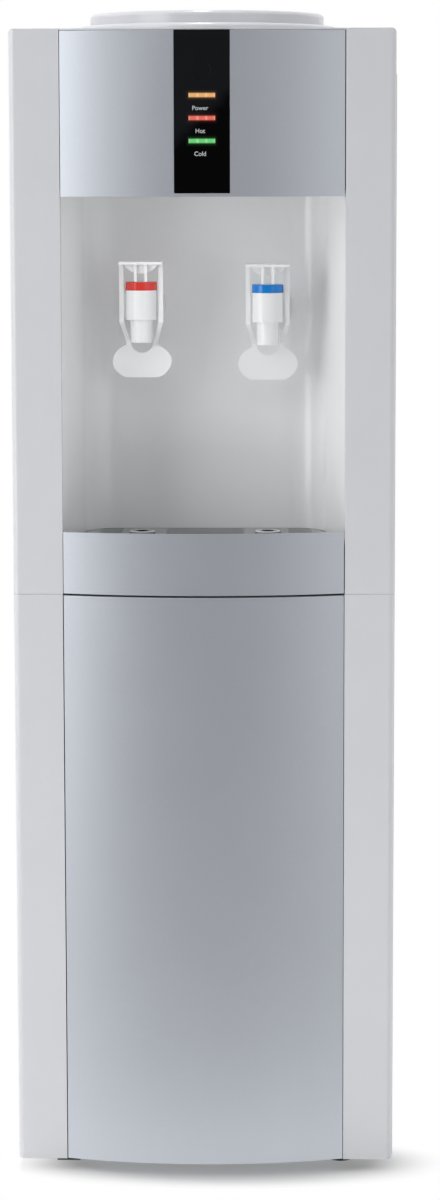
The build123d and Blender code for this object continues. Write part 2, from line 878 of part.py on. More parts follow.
def make_tap_spring(x, cap_z):
    low = stem_foot_z(cap_z) + stem_head_wall + contact_gap
    high = cap_z - cap_height - contact_gap
    sleeve = post_z(spring_outer_radius, x, tap_y, low, high)
    return sleeve - post_z(spring_inner_radius, x, tap_y, low, high)


def lever_front_outline():
    """Yoke and paddle seen from the front; x from the tap axis, y up from the cap."""
    outer = lever_width / 2
    inner = outer - lever_arm_width
    top = lever_top_height
    yoke = make_face(Polyline(
        (-outer, top), (outer, top), (outer, -lever_arm_straight), (lever_neck_half, -lever_neck_z),
        (lever_neck_half, notch_radius - paddle_bottom), (-lever_neck_half, notch_radius - paddle_bottom),
        (-lever_neck_half, -lever_neck_z), (-outer, -lever_arm_straight), close=True,
    ))
    gap = make_face(Polyline(
        (-inner, top), (inner, top), (inner, -lever_arm_straight), (notch_radius, -lever_neck_z),
        (-notch_radius, -lever_neck_z), (-inner, -lever_arm_straight), close=True,
    ))
    paddle = Pos(0, paddle_height / 2 - paddle_bottom) * Ellipse(paddle_width / 2, paddle_height / 2)
    foot_level = paddle_height / 2 * (1 - math.sqrt(1 - (paddle_flat / paddle_width) ** 2))
    trim_y = -paddle_bottom + foot_level / 2
    paddle = Pos(0, -foot_level) * paddle - Pos(0, trim_y - foot_level) * Rectangle(paddle_width, foot_level)
    notch = Pos(0, -lever_neck_z) * Circle(notch_radius)
    return yoke + paddle - gap - notch


def lever_side_profile():
    """Straight arm that sweeps back to the paddle; x is depth, y up from the cap."""
    half = lever_arm_depth / 2
    thin = lever_paddle_wall
    low = -paddle_bottom - cut_margin
    rear = lever_sweep_back + half
    return make_face(Polyline(
        (-half, lever_top_height), (half, lever_top_height), (half, -lever_arm_straight),
        (rear, -lever_neck_z), (rear, low), (rear - thin, low), (rear - thin, -lever_neck_z),
        (-half, -lever_arm_straight), close=True,
    ))


def make_lever(x, cap_z):
    reach = paddle_width
    upright = Plane(origin=(0, 0, 0), x_dir=(1, 0, 0), z_dir=(0, -1, 0))
    edgewise = Plane(origin=(0, 0, 0), x_dir=(0, 1, 0), z_dir=(1, 0, 0))
    front = extrude(upright * lever_front_outline(), reach, both=True)
    side = extrude(edgewise * lever_side_profile(), reach, both=True)
    lever = front & side
    top = lever_top_height
    under = top - lever_plate_wall
    half = lever_width / 2
    plate_back = lever_plate_back
    lever += block(-half, half, plate_back - lever_plate_depth, plate_back, under, top)
    chord = apron_half
    round_radius = (chord ** 2 + apron_drop ** 2) / (2 * apron_drop)
    segment = Pos(0, under - apron_drop + round_radius) * Circle(round_radius)
    segment &= Pos(0, under - apron_drop / 2) * Rectangle(2 * chord, apron_drop)
    lever += Pos(0, -apron_setback + apron_wall, 0) * extrude(upright * segment, apron_wall)
    ear_mid = stem_ear_gap / 2 + stem_ear_wall / 2
    lug_inner = stem_ear_gap / 2 + stem_ear_wall + lug_gap
    for sign in (-1, 1):
        heel = block(
            sign * ear_mid - stem_ear_wall / 2, sign * ear_mid + stem_ear_wall / 2,
            -heel_setback - heel_depth / 2, -heel_setback + heel_depth / 2, contact_gap, under,
        )
        near, far = sorted((sign * lug_inner, sign * (lug_inner + lug_wall)))
        lug = block(near, far, -stem_ear_half_depth, stem_ear_half_depth, pivot_height - lug_drop, under)
        lever += heel + lug
    lever += post_x(pivot_radius, 0, pivot_height, -lug_inner - lug_wall / 2, lug_inner + lug_wall / 2)
    return Pos(x, tap_y, cap_z) * lever


# Door and storage


def make_door_panel():
    half = panel_half - panel_gap
    rear = front_y + door_depth
    shell = bowed_slab(half, rear, door_bottom_z, door_top_z)
    shell -= bowed_slab(
        half - panel_wall, rear + cut_margin, door_bottom_z + panel_wall, door_top_z - panel_wall, panel_wall
    )
    depth = hinge_pin_length + hinge_bore_extra
    bore = hinge_pin_radius + hinge_pin_clearance
    for low, high in ((door_bottom_z, door_bottom_z + depth), (door_top_z - depth, door_top_z)):
        shell += post_z(hinge_boss_radius, hinge_x, hinge_y, low, high)
        shell -= post_z(bore, hinge_x, hinge_y, low, high)
    return shell


def make_door_liner():
    half = panel_half - panel_gap - panel_wall - contact_gap
    rear = front_y + door_depth
    low = door_bottom_z + panel_wall + contact_gap
    high = door_top_z - panel_wall - contact_gap
    return block(-half, half, rear - door_liner_wall, rear, low, high)


def catch_box(y0, y1):
    right = panel_half - panel_gap - panel_wall - hinge_inset
    low = door_top_z - door_bar_height + panel_wall
    return block(right - catch_width, right, y0, y1, low, low + catch_height)


def make_strike_plate():
    face = front_y + door_depth
    return catch_box(face, face + strike_wall)


def make_magnet_catch():
    return catch_box(front_y + door_depth + strike_wall + contact_gap, door_bar_y)


def make_upper_hinge():
    low = door_top_z + contact_gap
    left = -panel_half + contact_gap
    plate = block(
        left, left + upper_hinge_width, front_y + contact_gap, liner_front_y, low, low + upper_hinge_wall
    )
    return plate + post_z(hinge_pin_radius, hinge_x, hinge_y, low - hinge_pin_length, low)


def make_lower_hinge():
    left = -panel_half - lower_hinge_lap
    plate = block(
        left, left + lower_hinge_width, front_y + contact_gap, front_y + contact_gap + lower_hinge_depth,
        foot_height - lower_hinge_wall, foot_height,
    )
    return plate + post_z(hinge_pin_radius, hinge_x, hinge_y, foot_height, foot_height + hinge_pin_length)


def make_storage_liner():
    half = panel_half - liner_side_gap
    low = foot_height + door_bar_height + frame_wall
    high = door_top_z - door_bar_height
    outer = block(-half, half, liner_front_y, liner_rear_y, low - liner_wall, high + liner_wall)
    side = half - liner_wall
    return outer - block(-side, side, liner_front_y, liner_rear_y - liner_wall, low, high)


# Tanks and hoses


def make_tank_shelf():
    side = half_width
    front = niche_back_y + niche_wall + shelf_front_gap
    rear = back_panel_y - contact_gap
    shelf = block(-side, side, front, rear, shelf_z - base_sheet, shelf_z)
    for inner, outer in ((-side, -side + base_sheet), (side - base_sheet, side)):
        shelf += block(inner, outer, front, rear, shelf_z - shelf_flange, shelf_z)
    shelf -= post_z(2 * pipe_radius, suction_pipe_x, tank_y, shelf_z - shelf_flange, shelf_z)
    return shelf - post_z(hose_radius + pipe_hole_gap, drain_x, drain_hose_y, shelf_z - shelf_flange, shelf_z)


def make_cold_tank():
    low = cold_foam_bottom_z + cold_foam_floor
    high = seat_floor_z - seat_wall
    tank = post_z(cold_tank_radius, 0, tank_y, low, high)
    tank -= post_z(cold_tank_radius - cold_tank_wall, 0, tank_y, low + cold_tank_wall, high - cold_tank_wall)
    return tank - post_z(probe_bore_radius, 0, seat_y, high - 2 * cold_tank_wall, high)


def make_evaporator_coil():
    low = cold_foam_bottom_z + cold_foam_floor
    high = seat_floor_z - seat_wall
    inner = cold_tank_radius + coil_gap
    return post_z(inner + coil_wall, 0, tank_y, low, high) - post_z(inner, 0, tank_y, low, high)


def make_cold_tank_foam():
    floor_z = cold_foam_bottom_z + cold_foam_floor
    high = seat_floor_z - seat_wall
    foam = post_z(cold_foam_radius, 0, tank_y, cold_foam_bottom_z, high)
    return foam - post_z(coil_outer_radius + coil_gap, 0, tank_y, floor_z, high)


def make_hot_tank():
    """Thin-walled tank with rounded ends and an inlet in its top."""
    low = shelf_z + hot_foam_floor
    high = cold_foam_bottom_z - hot_foam_floor
    tank = post_z(hot_tank_radius, 0, tank_y, low, high)
    tank = fillet(tank.edges().filter_by(GeomType.CIRCLE), hot_tank_radius / 5)
    inner = hot_tank_radius - hot_tank_wall
    hollow = post_z(inner, 0, tank_y, low + hot_tank_wall, high - hot_tank_wall)
    hollow = fillet(hollow.edges().filter_by(GeomType.CIRCLE), hot_tank_radius / 5 - hot_tank_wall)
    return tank - hollow - post_z(hose_bore_radius, 0, tank_y, high - 2 * hot_tank_wall, high)


def thermostat_levels():
    middle = (shelf_z + cold_foam_bottom_z) / 2
    return (middle - thermostat_pitch / 2, middle + thermostat_pitch / 2)


def make_hot_tank_foam():
    half = hot_foam_width / 2
    foam = block(-half, half, hot_foam_front_y, hot_foam_rear_y, shelf_z, cold_foam_bottom_z)
    foam -= post_z(hot_tank_radius + contact_gap, 0, tank_y, shelf_z + hot_foam_floor, cold_foam_bottom_z)
    window = thermostat_radius + thermostat_window_gap
    low, high = thermostat_levels()
    return foam - block(-window, window, tank_y, hot_foam_rear_y, low - window, high + window)


def make_thermostats():
    face = tank_y + hot_tank_radius + contact_gap
    return group(
        post_y(thermostat_radius, 0, z, face, face + thermostat_height) for z in thermostat_levels()
    )


def make_water_hoses():
    hot_x, hot_cap = tap_places()["hot"]
    cold_x, cold_cap = tap_places()["cold"]
    hot_z = hot_cap - inlet_drop
    cold_z = cold_cap - inlet_drop
    hot = [
        (hot_x, tap_rear_y, hot_z), (hot_x, hose_drop_y, hot_z), (hot_x, hose_drop_y, hose_drop_z),
        (hot_x, hot_foam_front_y, hose_drop_z),
    ]
    rise_x = cold_x - hose_side_run
    rise_y = hot_foam_front_y - 2 * hose_radius
    cold = [
        (cold_x, tap_rear_y, cold_z), (cold_x, hose_drop_y, cold_z), (cold_x, hose_drop_y, hose_drop_z),
        (rise_x, rise_y, hose_drop_z), (rise_x, rise_y, cold_foam_bottom_z),
    ]
    drain_top = shelf_z + hot_foam_floor + hose_radius
    drain = [
        (drain_x, hot_foam_rear_y, drain_top), (drain_x, drain_hose_y, drain_top),
        (drain_x, drain_hose_y, drain_z), (drain_x, back_panel_y - drain_tail, drain_z),
    ]
    return group(tube_along(route, hose_radius, hose_bore_radius, hose_bend) for route in (hot, cold, drain))


def make_drain_fitting():
    fitting = post_y(drain_radius, drain_x, drain_z, back_panel_y - drain_tail, rear_face_y + drain_reach)
    fitting += post_y(drain_flange_radius, drain_x, drain_z, rear_face_y, rear_face_y + drain_flange_wall)
    start, end = back_panel_y - drain_tail, rear_face_y + drain_reach
    return fitting - post_y(drain_bore_radius, drain_x, drain_z, start, end)


def make_drain_cap():
    low = rear_face_y + drain_flange_wall + contact_gap
    inside = rear_face_y + drain_reach + contact_gap
    bore = drain_radius + contact_gap
    cap = post_y(bore + drain_cap_wall, drain_x, drain_z, low, inside + drain_cap_wall)
    return cap - post_y(bore, drain_x, drain_z, low, inside)


# Refrigeration


def make_compressor():
    top = compressor_bottom_z + compressor_height
    section = make_face(Polyline(
        (0, compressor_bottom_z), (compressor_radius, compressor_bottom_z),
        (compressor_radius, top), (0, top),
        close=True,
    ))
    corners = section.vertices().sort_by(Axis.X)[-2:].sort_by(Axis.Y)
    section = fillet(corners[-1], compressor_dome)
    shell = Pos(compressor_x, compressor_y, 0) * revolve(Plane.XZ * section, Axis.Z)
    half_w = compressor_foot_width / 2
    half_d = compressor_foot_depth / 2
    foot = block(
        compressor_x - half_w, compressor_x + half_w, compressor_y - half_d, compressor_y + half_d,
        compressor_bottom_z - compressor_foot_wall, compressor_bottom_z,
    )
    stub = post_z(2 * pipe_radius, suction_x, tank_y, top - compressor_dome, suction_stub_z)
    return shell + foot + stub


def make_compressor_grommets():
    half_w = compressor_foot_width / 2 - grommet_inset
    half_d = compressor_foot_depth / 2 - grommet_inset
    top = compressor_bottom_z - compressor_foot_wall
    return group(
        post_z(grommet_radius, compressor_x + x, compressor_y + y, base_top_z, top)
        for x in (-half_w, half_w) for y in (-half_d, half_d)
    )


def make_start_relay():
    right = compressor_x - compressor_radius - contact_gap
    half = relay_depth / 2
    relay = block(
        right - relay_width, right, compressor_y - half, compressor_y + half, relay_z, relay_z + relay_height
    )
    return fillet(relay.edges().filter_by(Axis.Z).sort_by(Axis.X)[:2], relay_width / 5)


def make_filter_drier():
    drier = post_z(drier_radius, drier_x, drier_y, drier_top_z - drier_length, drier_top_z)
    return chamfer(drier.edges().filter_by(GeomType.CIRCLE), drier_radius / 2)


def make_refrigerant_pipes():
    discharge = [
        (compressor_x + compressor_radius, compressor_y, discharge_z),
        (condenser_tail_x, compressor_y, discharge_z),
        (condenser_tail_x, compressor_y, pipe_out_z), (condenser_tail_x, condenser_y, pipe_out_z),
        (condenser_tail_x, condenser_y, condenser_bottom_z - condenser_tail),
    ]
    liquid = [
        (drier_x, condenser_y, condenser_top_z + condenser_tail), (drier_x, condenser_y, pipe_in_z),
        (drier_x, drier_y, pipe_in_z), (drier_x, drier_y, drier_top_z),
    ]
    capillary = [
        (drier_x, drier_y, drier_top_z - drier_length), (drier_x, drier_y, capillary_z),
        (drier_x, tank_y, capillary_z), (-cold_foam_radius - weld_gap, tank_y, capillary_z),
    ]
    suction = [
        (cold_foam_radius + weld_gap, tank_y, suction_z), (suction_pipe_x, tank_y, suction_z),
        (suction_pipe_x, tank_y, suction_level_z), (suction_x, tank_y, suction_level_z),
        (suction_x, tank_y, suction_stub_z),
    ]
    routes = (discharge, liquid, capillary, suction)
    return group(tube_along(route, pipe_radius, 0, pipe_bend) for route in routes)


def condenser_route():
    """Serpentine from the lower right tail to the upper left tail."""
    points = [(condenser_tail_x, condenser_y, condenser_bottom_z - condenser_tail)]
    points.append((condenser_tail_x, condenser_y, condenser_bottom_z))
    for run in range(condenser_runs):
        z = condenser_bottom_z + run * condenser_pitch
        end = -condenser_half_width if run % 2 == 0 else condenser_half_width
        start = -end
        if run > 0:
            points.append((start, condenser_y, z))
        if run < condenser_runs - 1:
            points.append((end, condenser_y, z))
    points.append((drier_x, condenser_y, condenser_top_z))
    points.append((drier_x, condenser_y, condenser_top_z + condenser_tail))
    return points


def make_condenser():
    route = condenser_route()
    turn = condenser_pitch / 2 - condenser_bend_gap
    bends = [condenser_end_bend] + [turn] * (len(route) - 4) + [condenser_end_bend]
    pieces = [tube_along(route, condenser_tube_radius, 0, bends)]
    low = condenser_bottom_z - condenser_wire_overhang
    high = condenser_top_z + condenser_wire_overhang
    stand = condenser_tube_radius + condenser_wire_radius + weld_gap
    for index in range(condenser_wires):
        x = -condenser_wire_span / 2 + index * condenser_wire_span / (condenser_wires - 1)
        for y in (condenser_y - stand, condenser_y + stand):
            pieces.append(post_z(condenser_wire_radius, x, y, low, high))
    reach = condenser_y - condenser_tube_radius - weld_gap
    half = post_width / 2
    for x in (-condenser_wire_span / 2 + post_width, condenser_wire_span / 2 - post_width):
        for z in (condenser_bottom_z, condenser_top_z):
            pieces.append(block(x - half, x + half, rear_face_y, reach, z - half, z + half))
    return group(pieces)


# Rear switches and gland


def rocker_pivot_y():
    return rear_face_y + switch_bezel_wall - rocker_hollow - contact_gap


def make_switch_bodies():
    bodies = []
    pivot = rocker_pivot_y()
    front = rear_face_y + switch_bezel_wall
    pocket_w = rocker_width / 2 + switch_gap
    pocket_h = rocker_radius + switch_gap
    for x in switch_places.values():
        half_w = switch_bezel_width / 2
        half_h = switch_bezel_height / 2
        body = block(x - half_w, x + half_w, rear_face_y, front, switch_z - half_h, switch_z + half_h)
        half_w = switch_body_width / 2
        half_h = switch_body_height / 2
        body += block(
            x - half_w, x + half_w, rear_face_y - switch_body_depth, rear_face_y,
            switch_z - half_h, switch_z + half_h,
        )
        body -= block(
            x - pocket_w, x + pocket_w, pivot - rocker_back - rocker_lift, front,
            switch_z - pocket_h, switch_z + pocket_h,
        )
        reach = rocker_width / 2 + rocker_pin_reach + switch_gap
        body -= post_x(rocker_pin_radius + rocker_pin_clearance, pivot, switch_z, x - reach, x + reach)
        bodies.append(body)
    return group(bodies)


def make_rocker(x):
    """Hollow-faced rocker, resting with one end pressed in."""
    tip = rocker_hollow + rocker_lift
    outline = make_face(Polyline(
        (-rocker_back, -rocker_radius), (rocker_hollow + rocker_lift, -rocker_radius), (rocker_hollow, 0),
        (tip, rocker_radius), (-rocker_back, rocker_radius), close=True,
    ))
    section = outline & Circle(rocker_radius)
    edgewise = Plane(origin=(0, 0, 0), x_dir=(0, 1, 0), z_dir=(1, 0, 0))
    rocker = extrude(edgewise * section, rocker_width / 2, both=True)
    reach = rocker_width / 2 + rocker_pin_reach
    rocker += post_x(rocker_pin_radius, 0, 0, -reach, reach)
    return Pos(x, rocker_pivot_y(), switch_z) * Rot(-rocker_angle, 0, 0) * rocker


def make_cable_gland():
    nose_end = rear_face_y + gland_flange_wall + gland_nose_length
    gland = post_y(gland_radius, gland_x, gland_z, back_panel_y - gland_flange_wall, rear_face_y)
    gland += post_y(gland_flange_radius, gland_x, gland_z, rear_face_y, rear_face_y + gland_flange_wall)
    nose = Pos(gland_x, nose_end - gland_nose_length / 2, gland_z) * Rot(-90, 0, 0)
    gland += nose * Cone(gland_radius, gland_nose_radius, gland_nose_length)
    gland += post_y(
        gland_flange_radius, gland_x, gland_z, back_panel_y - gland_flange_wall, back_panel_y
    )
    return gland - post_y(gland_bore_radius, gland_x, gland_z, back_panel_y - gland_flange_wall, nose_end)


def main():
    os.makedirs("parts", exist_ok=True)
    single = {
        "base_plate": make_base_plate, "feet": make_feet, "back_panel": make_back_panel,
        "upper_front_frame": make_upper_front_frame, "lower_front_frame": make_lower_front_frame,
        "top_cover": make_top_cover, "bottle_seat": make_bottle_seat, "feed_probe": make_feed_probe,
        "top_fascia": make_top_fascia, "display_window": make_display_window,
        "control_board": make_control_board, "dispensing_niche": make_dispensing_niche,
        "tray_front": make_tray_front, "drip_basin": make_drip_basin,
        "drip_grille": make_drip_grille, "tap_nuts": make_tap_nuts, "door_panel": make_door_panel,
        "door_liner": make_door_liner, "strike_plate": make_strike_plate, "magnet_catch": make_magnet_catch,
        "upper_hinge": make_upper_hinge, "lower_hinge": make_lower_hinge, "storage_liner": make_storage_liner,
        "tank_shelf": make_tank_shelf, "cold_tank": make_cold_tank, "evaporator_coil": make_evaporator_coil,
        "cold_tank_foam": make_cold_tank_foam, "hot_tank": make_hot_tank, "hot_tank_foam": make_hot_tank_foam,
        "thermostats": make_thermostats, "water_hoses": make_water_hoses, "drain_fitting": make_drain_fitting,
        "drain_cap": make_drain_cap, "compressor": make_compressor,
        "compressor_grommets": make_compressor_grommets,
        "start_relay": make_start_relay, "filter_drier": make_filter_drier,
        "refrigerant_pipes": make_refrigerant_pipes, "condenser": make_condenser,
        "switch_bodies": make_switch_bodies, "cable_gland": make_cable_gland,
    }
    for name, make in single.items():
        write(name, make())
    write("side_panel_left", make_side_panel(-1))
    write("side_panel_right", make_side_panel(1))
    for name, z in lamp_places().items():
        write(f"{name}_lens", make_lamp_lens(z))
    for name, x in switch_places.items():
        write(f"{name}_rocker", make_rocker(x))
    tap_pieces = {
        "tap_body": make_tap_body, "tap_cap": make_tap_cap, "tap_stem": make_tap_stem,
        "tap_seal": make_tap_seal, "tap_spring": make_tap_spring, "lever": make_lever,
    }
    for side, (x, cap_z) in tap_places().items():
        for piece, make in tap_pieces.items():
            write(f"{side}_{piece}", make(x, cap_z))


if __name__ == "__main__":
    main()
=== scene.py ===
import json
import math

import bmesh
import bpy
from mathutils import Matrix, Vector


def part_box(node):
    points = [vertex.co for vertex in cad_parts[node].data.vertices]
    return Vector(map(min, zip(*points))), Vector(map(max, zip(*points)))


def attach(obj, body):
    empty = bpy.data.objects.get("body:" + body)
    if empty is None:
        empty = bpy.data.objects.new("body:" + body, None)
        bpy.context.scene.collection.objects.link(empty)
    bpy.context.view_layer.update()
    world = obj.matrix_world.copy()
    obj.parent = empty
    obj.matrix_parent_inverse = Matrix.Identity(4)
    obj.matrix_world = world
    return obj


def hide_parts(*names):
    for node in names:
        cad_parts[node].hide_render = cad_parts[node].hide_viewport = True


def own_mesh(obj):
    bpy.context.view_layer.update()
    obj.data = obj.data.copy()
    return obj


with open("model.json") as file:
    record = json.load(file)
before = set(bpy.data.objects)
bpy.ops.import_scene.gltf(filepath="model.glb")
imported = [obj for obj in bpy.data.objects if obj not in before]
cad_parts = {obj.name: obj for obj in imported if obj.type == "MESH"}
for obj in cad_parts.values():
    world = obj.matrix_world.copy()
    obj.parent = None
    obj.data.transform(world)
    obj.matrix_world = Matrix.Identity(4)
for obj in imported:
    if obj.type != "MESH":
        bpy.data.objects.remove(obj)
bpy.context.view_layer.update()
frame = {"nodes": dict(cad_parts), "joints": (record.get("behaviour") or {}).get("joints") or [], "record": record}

bl_info = {
    "name": "Floor-standing Water Cooler",
    "version": (1, 0, 0),
    "blender": (4, 5, 0),
    "location": "View3D > Sidebar > Water Cooler",
    "description": "Finishes, edges and small trim of a floor-standing water cooler",
    "category": "Add Mesh",
}

MM = 0.001
SHARP = math.radians(38)  # edges that turn by more than this are rounded
FLAT = math.radians(0.4)  # faces that turn by less than this are joined
TOUCH = 0.2 * MM  # a corner this close to a plane lies in it
CAPITAL = 0.72  # height of a capital letter as a share of the built-in font's size
record = frame["record"]
node_body = {node: body for body, nodes in record["behaviour"]["bodies"].items() for node in nodes}


# Sizes and colours a user would change


def colour_property(name, description, default):
    return bpy.props.FloatVectorProperty(
        name=name, description=description, subtype="COLOR", size=3, min=0, max=1, default=default)


def length_property(name, description, default):
    return bpy.props.FloatProperty(
        name=name, description=description, unit="LENGTH", min=0, default=default)


class CoolerFinish(bpy.types.PropertyGroup):
    """Colours and edges of the cooler."""
    cabinet_white: colour_property(
        "Cabinet white", "Moulded plastic and painted sheet of the cabinet", (0.66, 0.668, 0.695))
    niche_white: colour_property(
        "Niche white", "High gloss plastic round the taps", (0.92, 0.927, 0.935))
    silver: colour_property(
        "Silver", "Satin lacquer of the bowed panels", (0.59, 0.622, 0.675))
    window_black: colour_property(
        "Window black", "Glossy strip behind which the lamps sit", (0.0035, 0.0037, 0.0045))
    grille_grey: colour_property(
        "Grille grey", "Drip grille and basin", (0.225, 0.23, 0.24))
    hot_red: colour_property(
        "Hot red", "Cap of the hot tap", (0.86, 0.055, 0.04))
    cold_blue: colour_property(
        "Cold blue", "Cap of the cold tap", (0.003, 0.205, 0.64))
    power_amber: colour_property(
        "Power amber", "Light of the upper lamp", (0.80, 0.41, 0.14))
    heat_red: colour_property(
        "Heat red", "Light of the middle lamp", (0.79, 0.13, 0.09))
    cool_green: colour_property(
        "Cool green", "Light of the lower lamp", (0.13, 0.62, 0.165))
    plastic_edge: length_property(
        "Plastic edge", "Rounding on the edges of moulded pieces", 0.6 * MM)
    seam_edge: length_property(
        "Seam edge", "Rounding where two front pieces meet at a narrow gap", 0.12 * MM)
    seam_lip: length_property(
        "Seam lip", "How far the frames reach into the gaps beside the silver panels", 0.5 * MM)
    tray_drop: length_property(
        "Tray drop", "How far the tray's front reaches down into the gap above the door", 0.4 * MM)
    door_edge: length_property(
        "Door edge", "Rounding of the door's upper edge", 0.7 * MM)
    seam_tongue: length_property(
        "Seam tongue", "How far the lower frame reaches up to the upper one", 0.8 * MM)
    sheet_edge: length_property(
        "Sheet edge", "Rounding on the edges of folded sheet", 0.25 * MM)


class CoolerTrim(bpy.types.PropertyGroup):
    """Words, screws, wires and springs."""
    word_height: length_property(
        "Word height", "Height of a capital letter under a lamp", 3.5 * MM)
    word_drop: length_property(
        "Word drop", "From the middle of a lamp down to the middle of its word", 10.3 * MM)
    word_shift: bpy.props.FloatProperty(
        name="Word shift", description="How far the words sit to the left of the lamps",
        unit="LENGTH", default=1.35 * MM)
    screw_radius: length_property(
        "Screw radius", "Radius of the domed screw heads at the back", 3.4 * MM)
    screw_inset: length_property(
        "Screw inset", "From the side of the cabinet in to the screws", 6.5 * MM)
    screw_foot: length_property(
        "Screw foot", "From the foot of the side sheets up to the lowest screws", 50 * MM)
    screw_head_room: length_property(
        "Screw head room", "From the highest screws up to the top of the side sheets", 40 * MM)
    screws_a_side: bpy.props.IntProperty(
        name="Screws a side", description="Screws down each edge of the back", min=2, default=6)
    wires_between: bpy.props.IntProperty(
        name="Wires between", description="Thin wires between two thick ones of the condenser",
        min=1, default=2)
    wire_radius: length_property(
        "Wire radius", "Radius of a thin wire of the condenser", 0.8 * MM)
    wire_length: length_property(
        "Wire length", "Length of a thin wire of the condenser", 616 * MM)
    wire_span: length_property(
        "Wire span", "From the first thick wire to the last", 180 * MM)
    wire_gaps: bpy.props.IntProperty(
        name="Wire gaps", description="Gaps between the thick wires", min=1, default=10)
    wire_faces: length_property(
        "Wire faces", "From the wires of one face to those of the other", 6.48 * MM)
    spring_wire: length_property(
        "Spring wire", "Radius of the wire of a tap spring", 0.6 * MM)
    spring_turns: bpy.props.FloatProperty(
        name="Spring turns", description="Turns of a tap spring", min=1, default=4.5)


class CoolerStage(bpy.types.PropertyGroup):
    """Camera and light."""
    lens: bpy.props.FloatProperty(
        name="Lens", description="Focal length on a 36 mm frame", subtype="DISTANCE_CAMERA", default=99.617)
    camera_reach: bpy.props.FloatProperty(
        name="Camera reach", description="From the face of the cabinet to the camera",
        unit="LENGTH", default=2.6783)
    camera_side: bpy.props.FloatProperty(
        name="Camera side", description="Camera to the right of the middle", unit="LENGTH", default=0.0614)
    camera_height: bpy.props.FloatProperty(
        name="Camera height", description="Camera above the floor", unit="LENGTH", default=0.8329)
    camera_yaw: bpy.props.FloatProperty(
        name="Camera yaw", description="Turn to the right", subtype="ANGLE", default=math.radians(-1.029))
    camera_pitch: bpy.props.FloatProperty(
        name="Camera pitch", description="Tilt down", subtype="ANGLE", default=math.radians(7.485))
    camera_roll: bpy.props.FloatProperty(
        name="Camera roll", description="Roll", subtype="ANGLE", default=math.radians(-0.125))
    key_level: bpy.props.FloatProperty(
        name="Key level", description="Brightness of the softbox on the left, where 1 is white",
        min=0, default=2.85)
    fill_level: bpy.props.FloatProperty(
        name="Fill level", description="Brightness of the softbox on the right", min=0, default=0.82)
    front_box_level: bpy.props.FloatProperty(
        name="Front box level", description="Brightness of the softbox over the camera",
        min=0, default=1.05)
    tap_spot: bpy.props.FloatProperty(
        name="Tap spot", description="Power of the spot on the hot tap, in watts", min=0, default=36.0)
    overhead: bpy.props.FloatProperty(
        name="Overhead", description="Light from above on a level surface, where 1 is white",
        min=0, default=0.62)
    front_level: bpy.props.FloatProperty(
        name="Front level", description="Brightness of the room in front of the cooler",
        min=0, default=0.22)
    ceiling_level: bpy.props.FloatProperty(
        name="Ceiling level", description="Brightness of the room above", min=0, default=0.4)
    floor_white: bpy.props.FloatProperty(
        name="Floor white", description="Share of plain white in the paper beside the cooler",
        min=0, max=1, default=0.15)


# Shader maths


class Value:
    """A shader socket that takes part in ordinary arithmetic."""

    def __init__(self, paint, socket):
        self.paint = paint
        self.socket = socket

    def math(self, operation, *others):
        inputs = {index: value for index, value in enumerate((self,) + others)}
        return self.paint.node("ShaderNodeMath", {"operation": operation}, inputs)

    def reflected(self, operation, other):
        return self.paint.node("ShaderNodeMath", {"operation": operation}, {0: other, 1: self})

    def __add__(self, other):
        return self.math("ADD", other)

    def __sub__(self, other):
        return self.math("SUBTRACT", other)

    def __mul__(self, other):
        return self.math("MULTIPLY", other)

    def __truediv__(self, other):
        return self.math("DIVIDE", other)

    def __pow__(self, other):
        return self.math("POWER", other)

    def __abs__(self):
        return self.math("ABSOLUTE")

    def __rsub__(self, other):
        return self.reflected("SUBTRACT", other)

    def __rtruediv__(self, other):
        return self.reflected("DIVIDE", other)

    __radd__ = __add__
    __rmul__ = __mul__


class Shading:
    """A shader tree, written as calls and expressions."""

    def __init__(self, tree):
        self.tree = tree
        tree.nodes.clear()

    def node(self, kind, settings=None, inputs=None, output=0):
        node = self.tree.nodes.new(kind)
        for name, value in (settings or {}).items():
            setattr(node, name, value)
        for name, value in (inputs or {}).items():
            self.feed(node.inputs[name], value)
        return Value(self, node.outputs[output]) if node.outputs else None

    def feed(self, socket, value):
        if isinstance(value, Value):
            self.tree.links.new(value.socket, socket)
        else:
            socket.default_value = value

    def mix(self, factor, first, second):
        inputs = {0: factor, 6: first, 7: second}
        return self.node("ShaderNodeMix", {"data_type": "RGBA"}, inputs, output=2)

    def smooth(self, value, low, high):
        inputs = {"Value": value, "From Min": low, "From Max": high}
        return self.node("ShaderNodeMapRange", {"interpolation_type": "SMOOTHSTEP"}, inputs)

    def axes(self, place):
        split = self.node("ShaderNodeSeparateXYZ", None, {0: place})
        outputs = split.socket.node.outputs
        return [Value(self, outputs[axis]) for axis in "XYZ"]

    def length(self, first, second):
        return (first * first + second * second).math("SQRT")

    def ray(self, *kinds):
        """1 where the ray is one of the kinds, else 0."""
        outputs = self.node("ShaderNodeLightPath").socket.node.outputs
        found = Value(self, outputs[kinds[0]])
        for kind in kinds[1:]:
            found = found.math("MAXIMUM", Value(self, outputs[kind]))
        return found


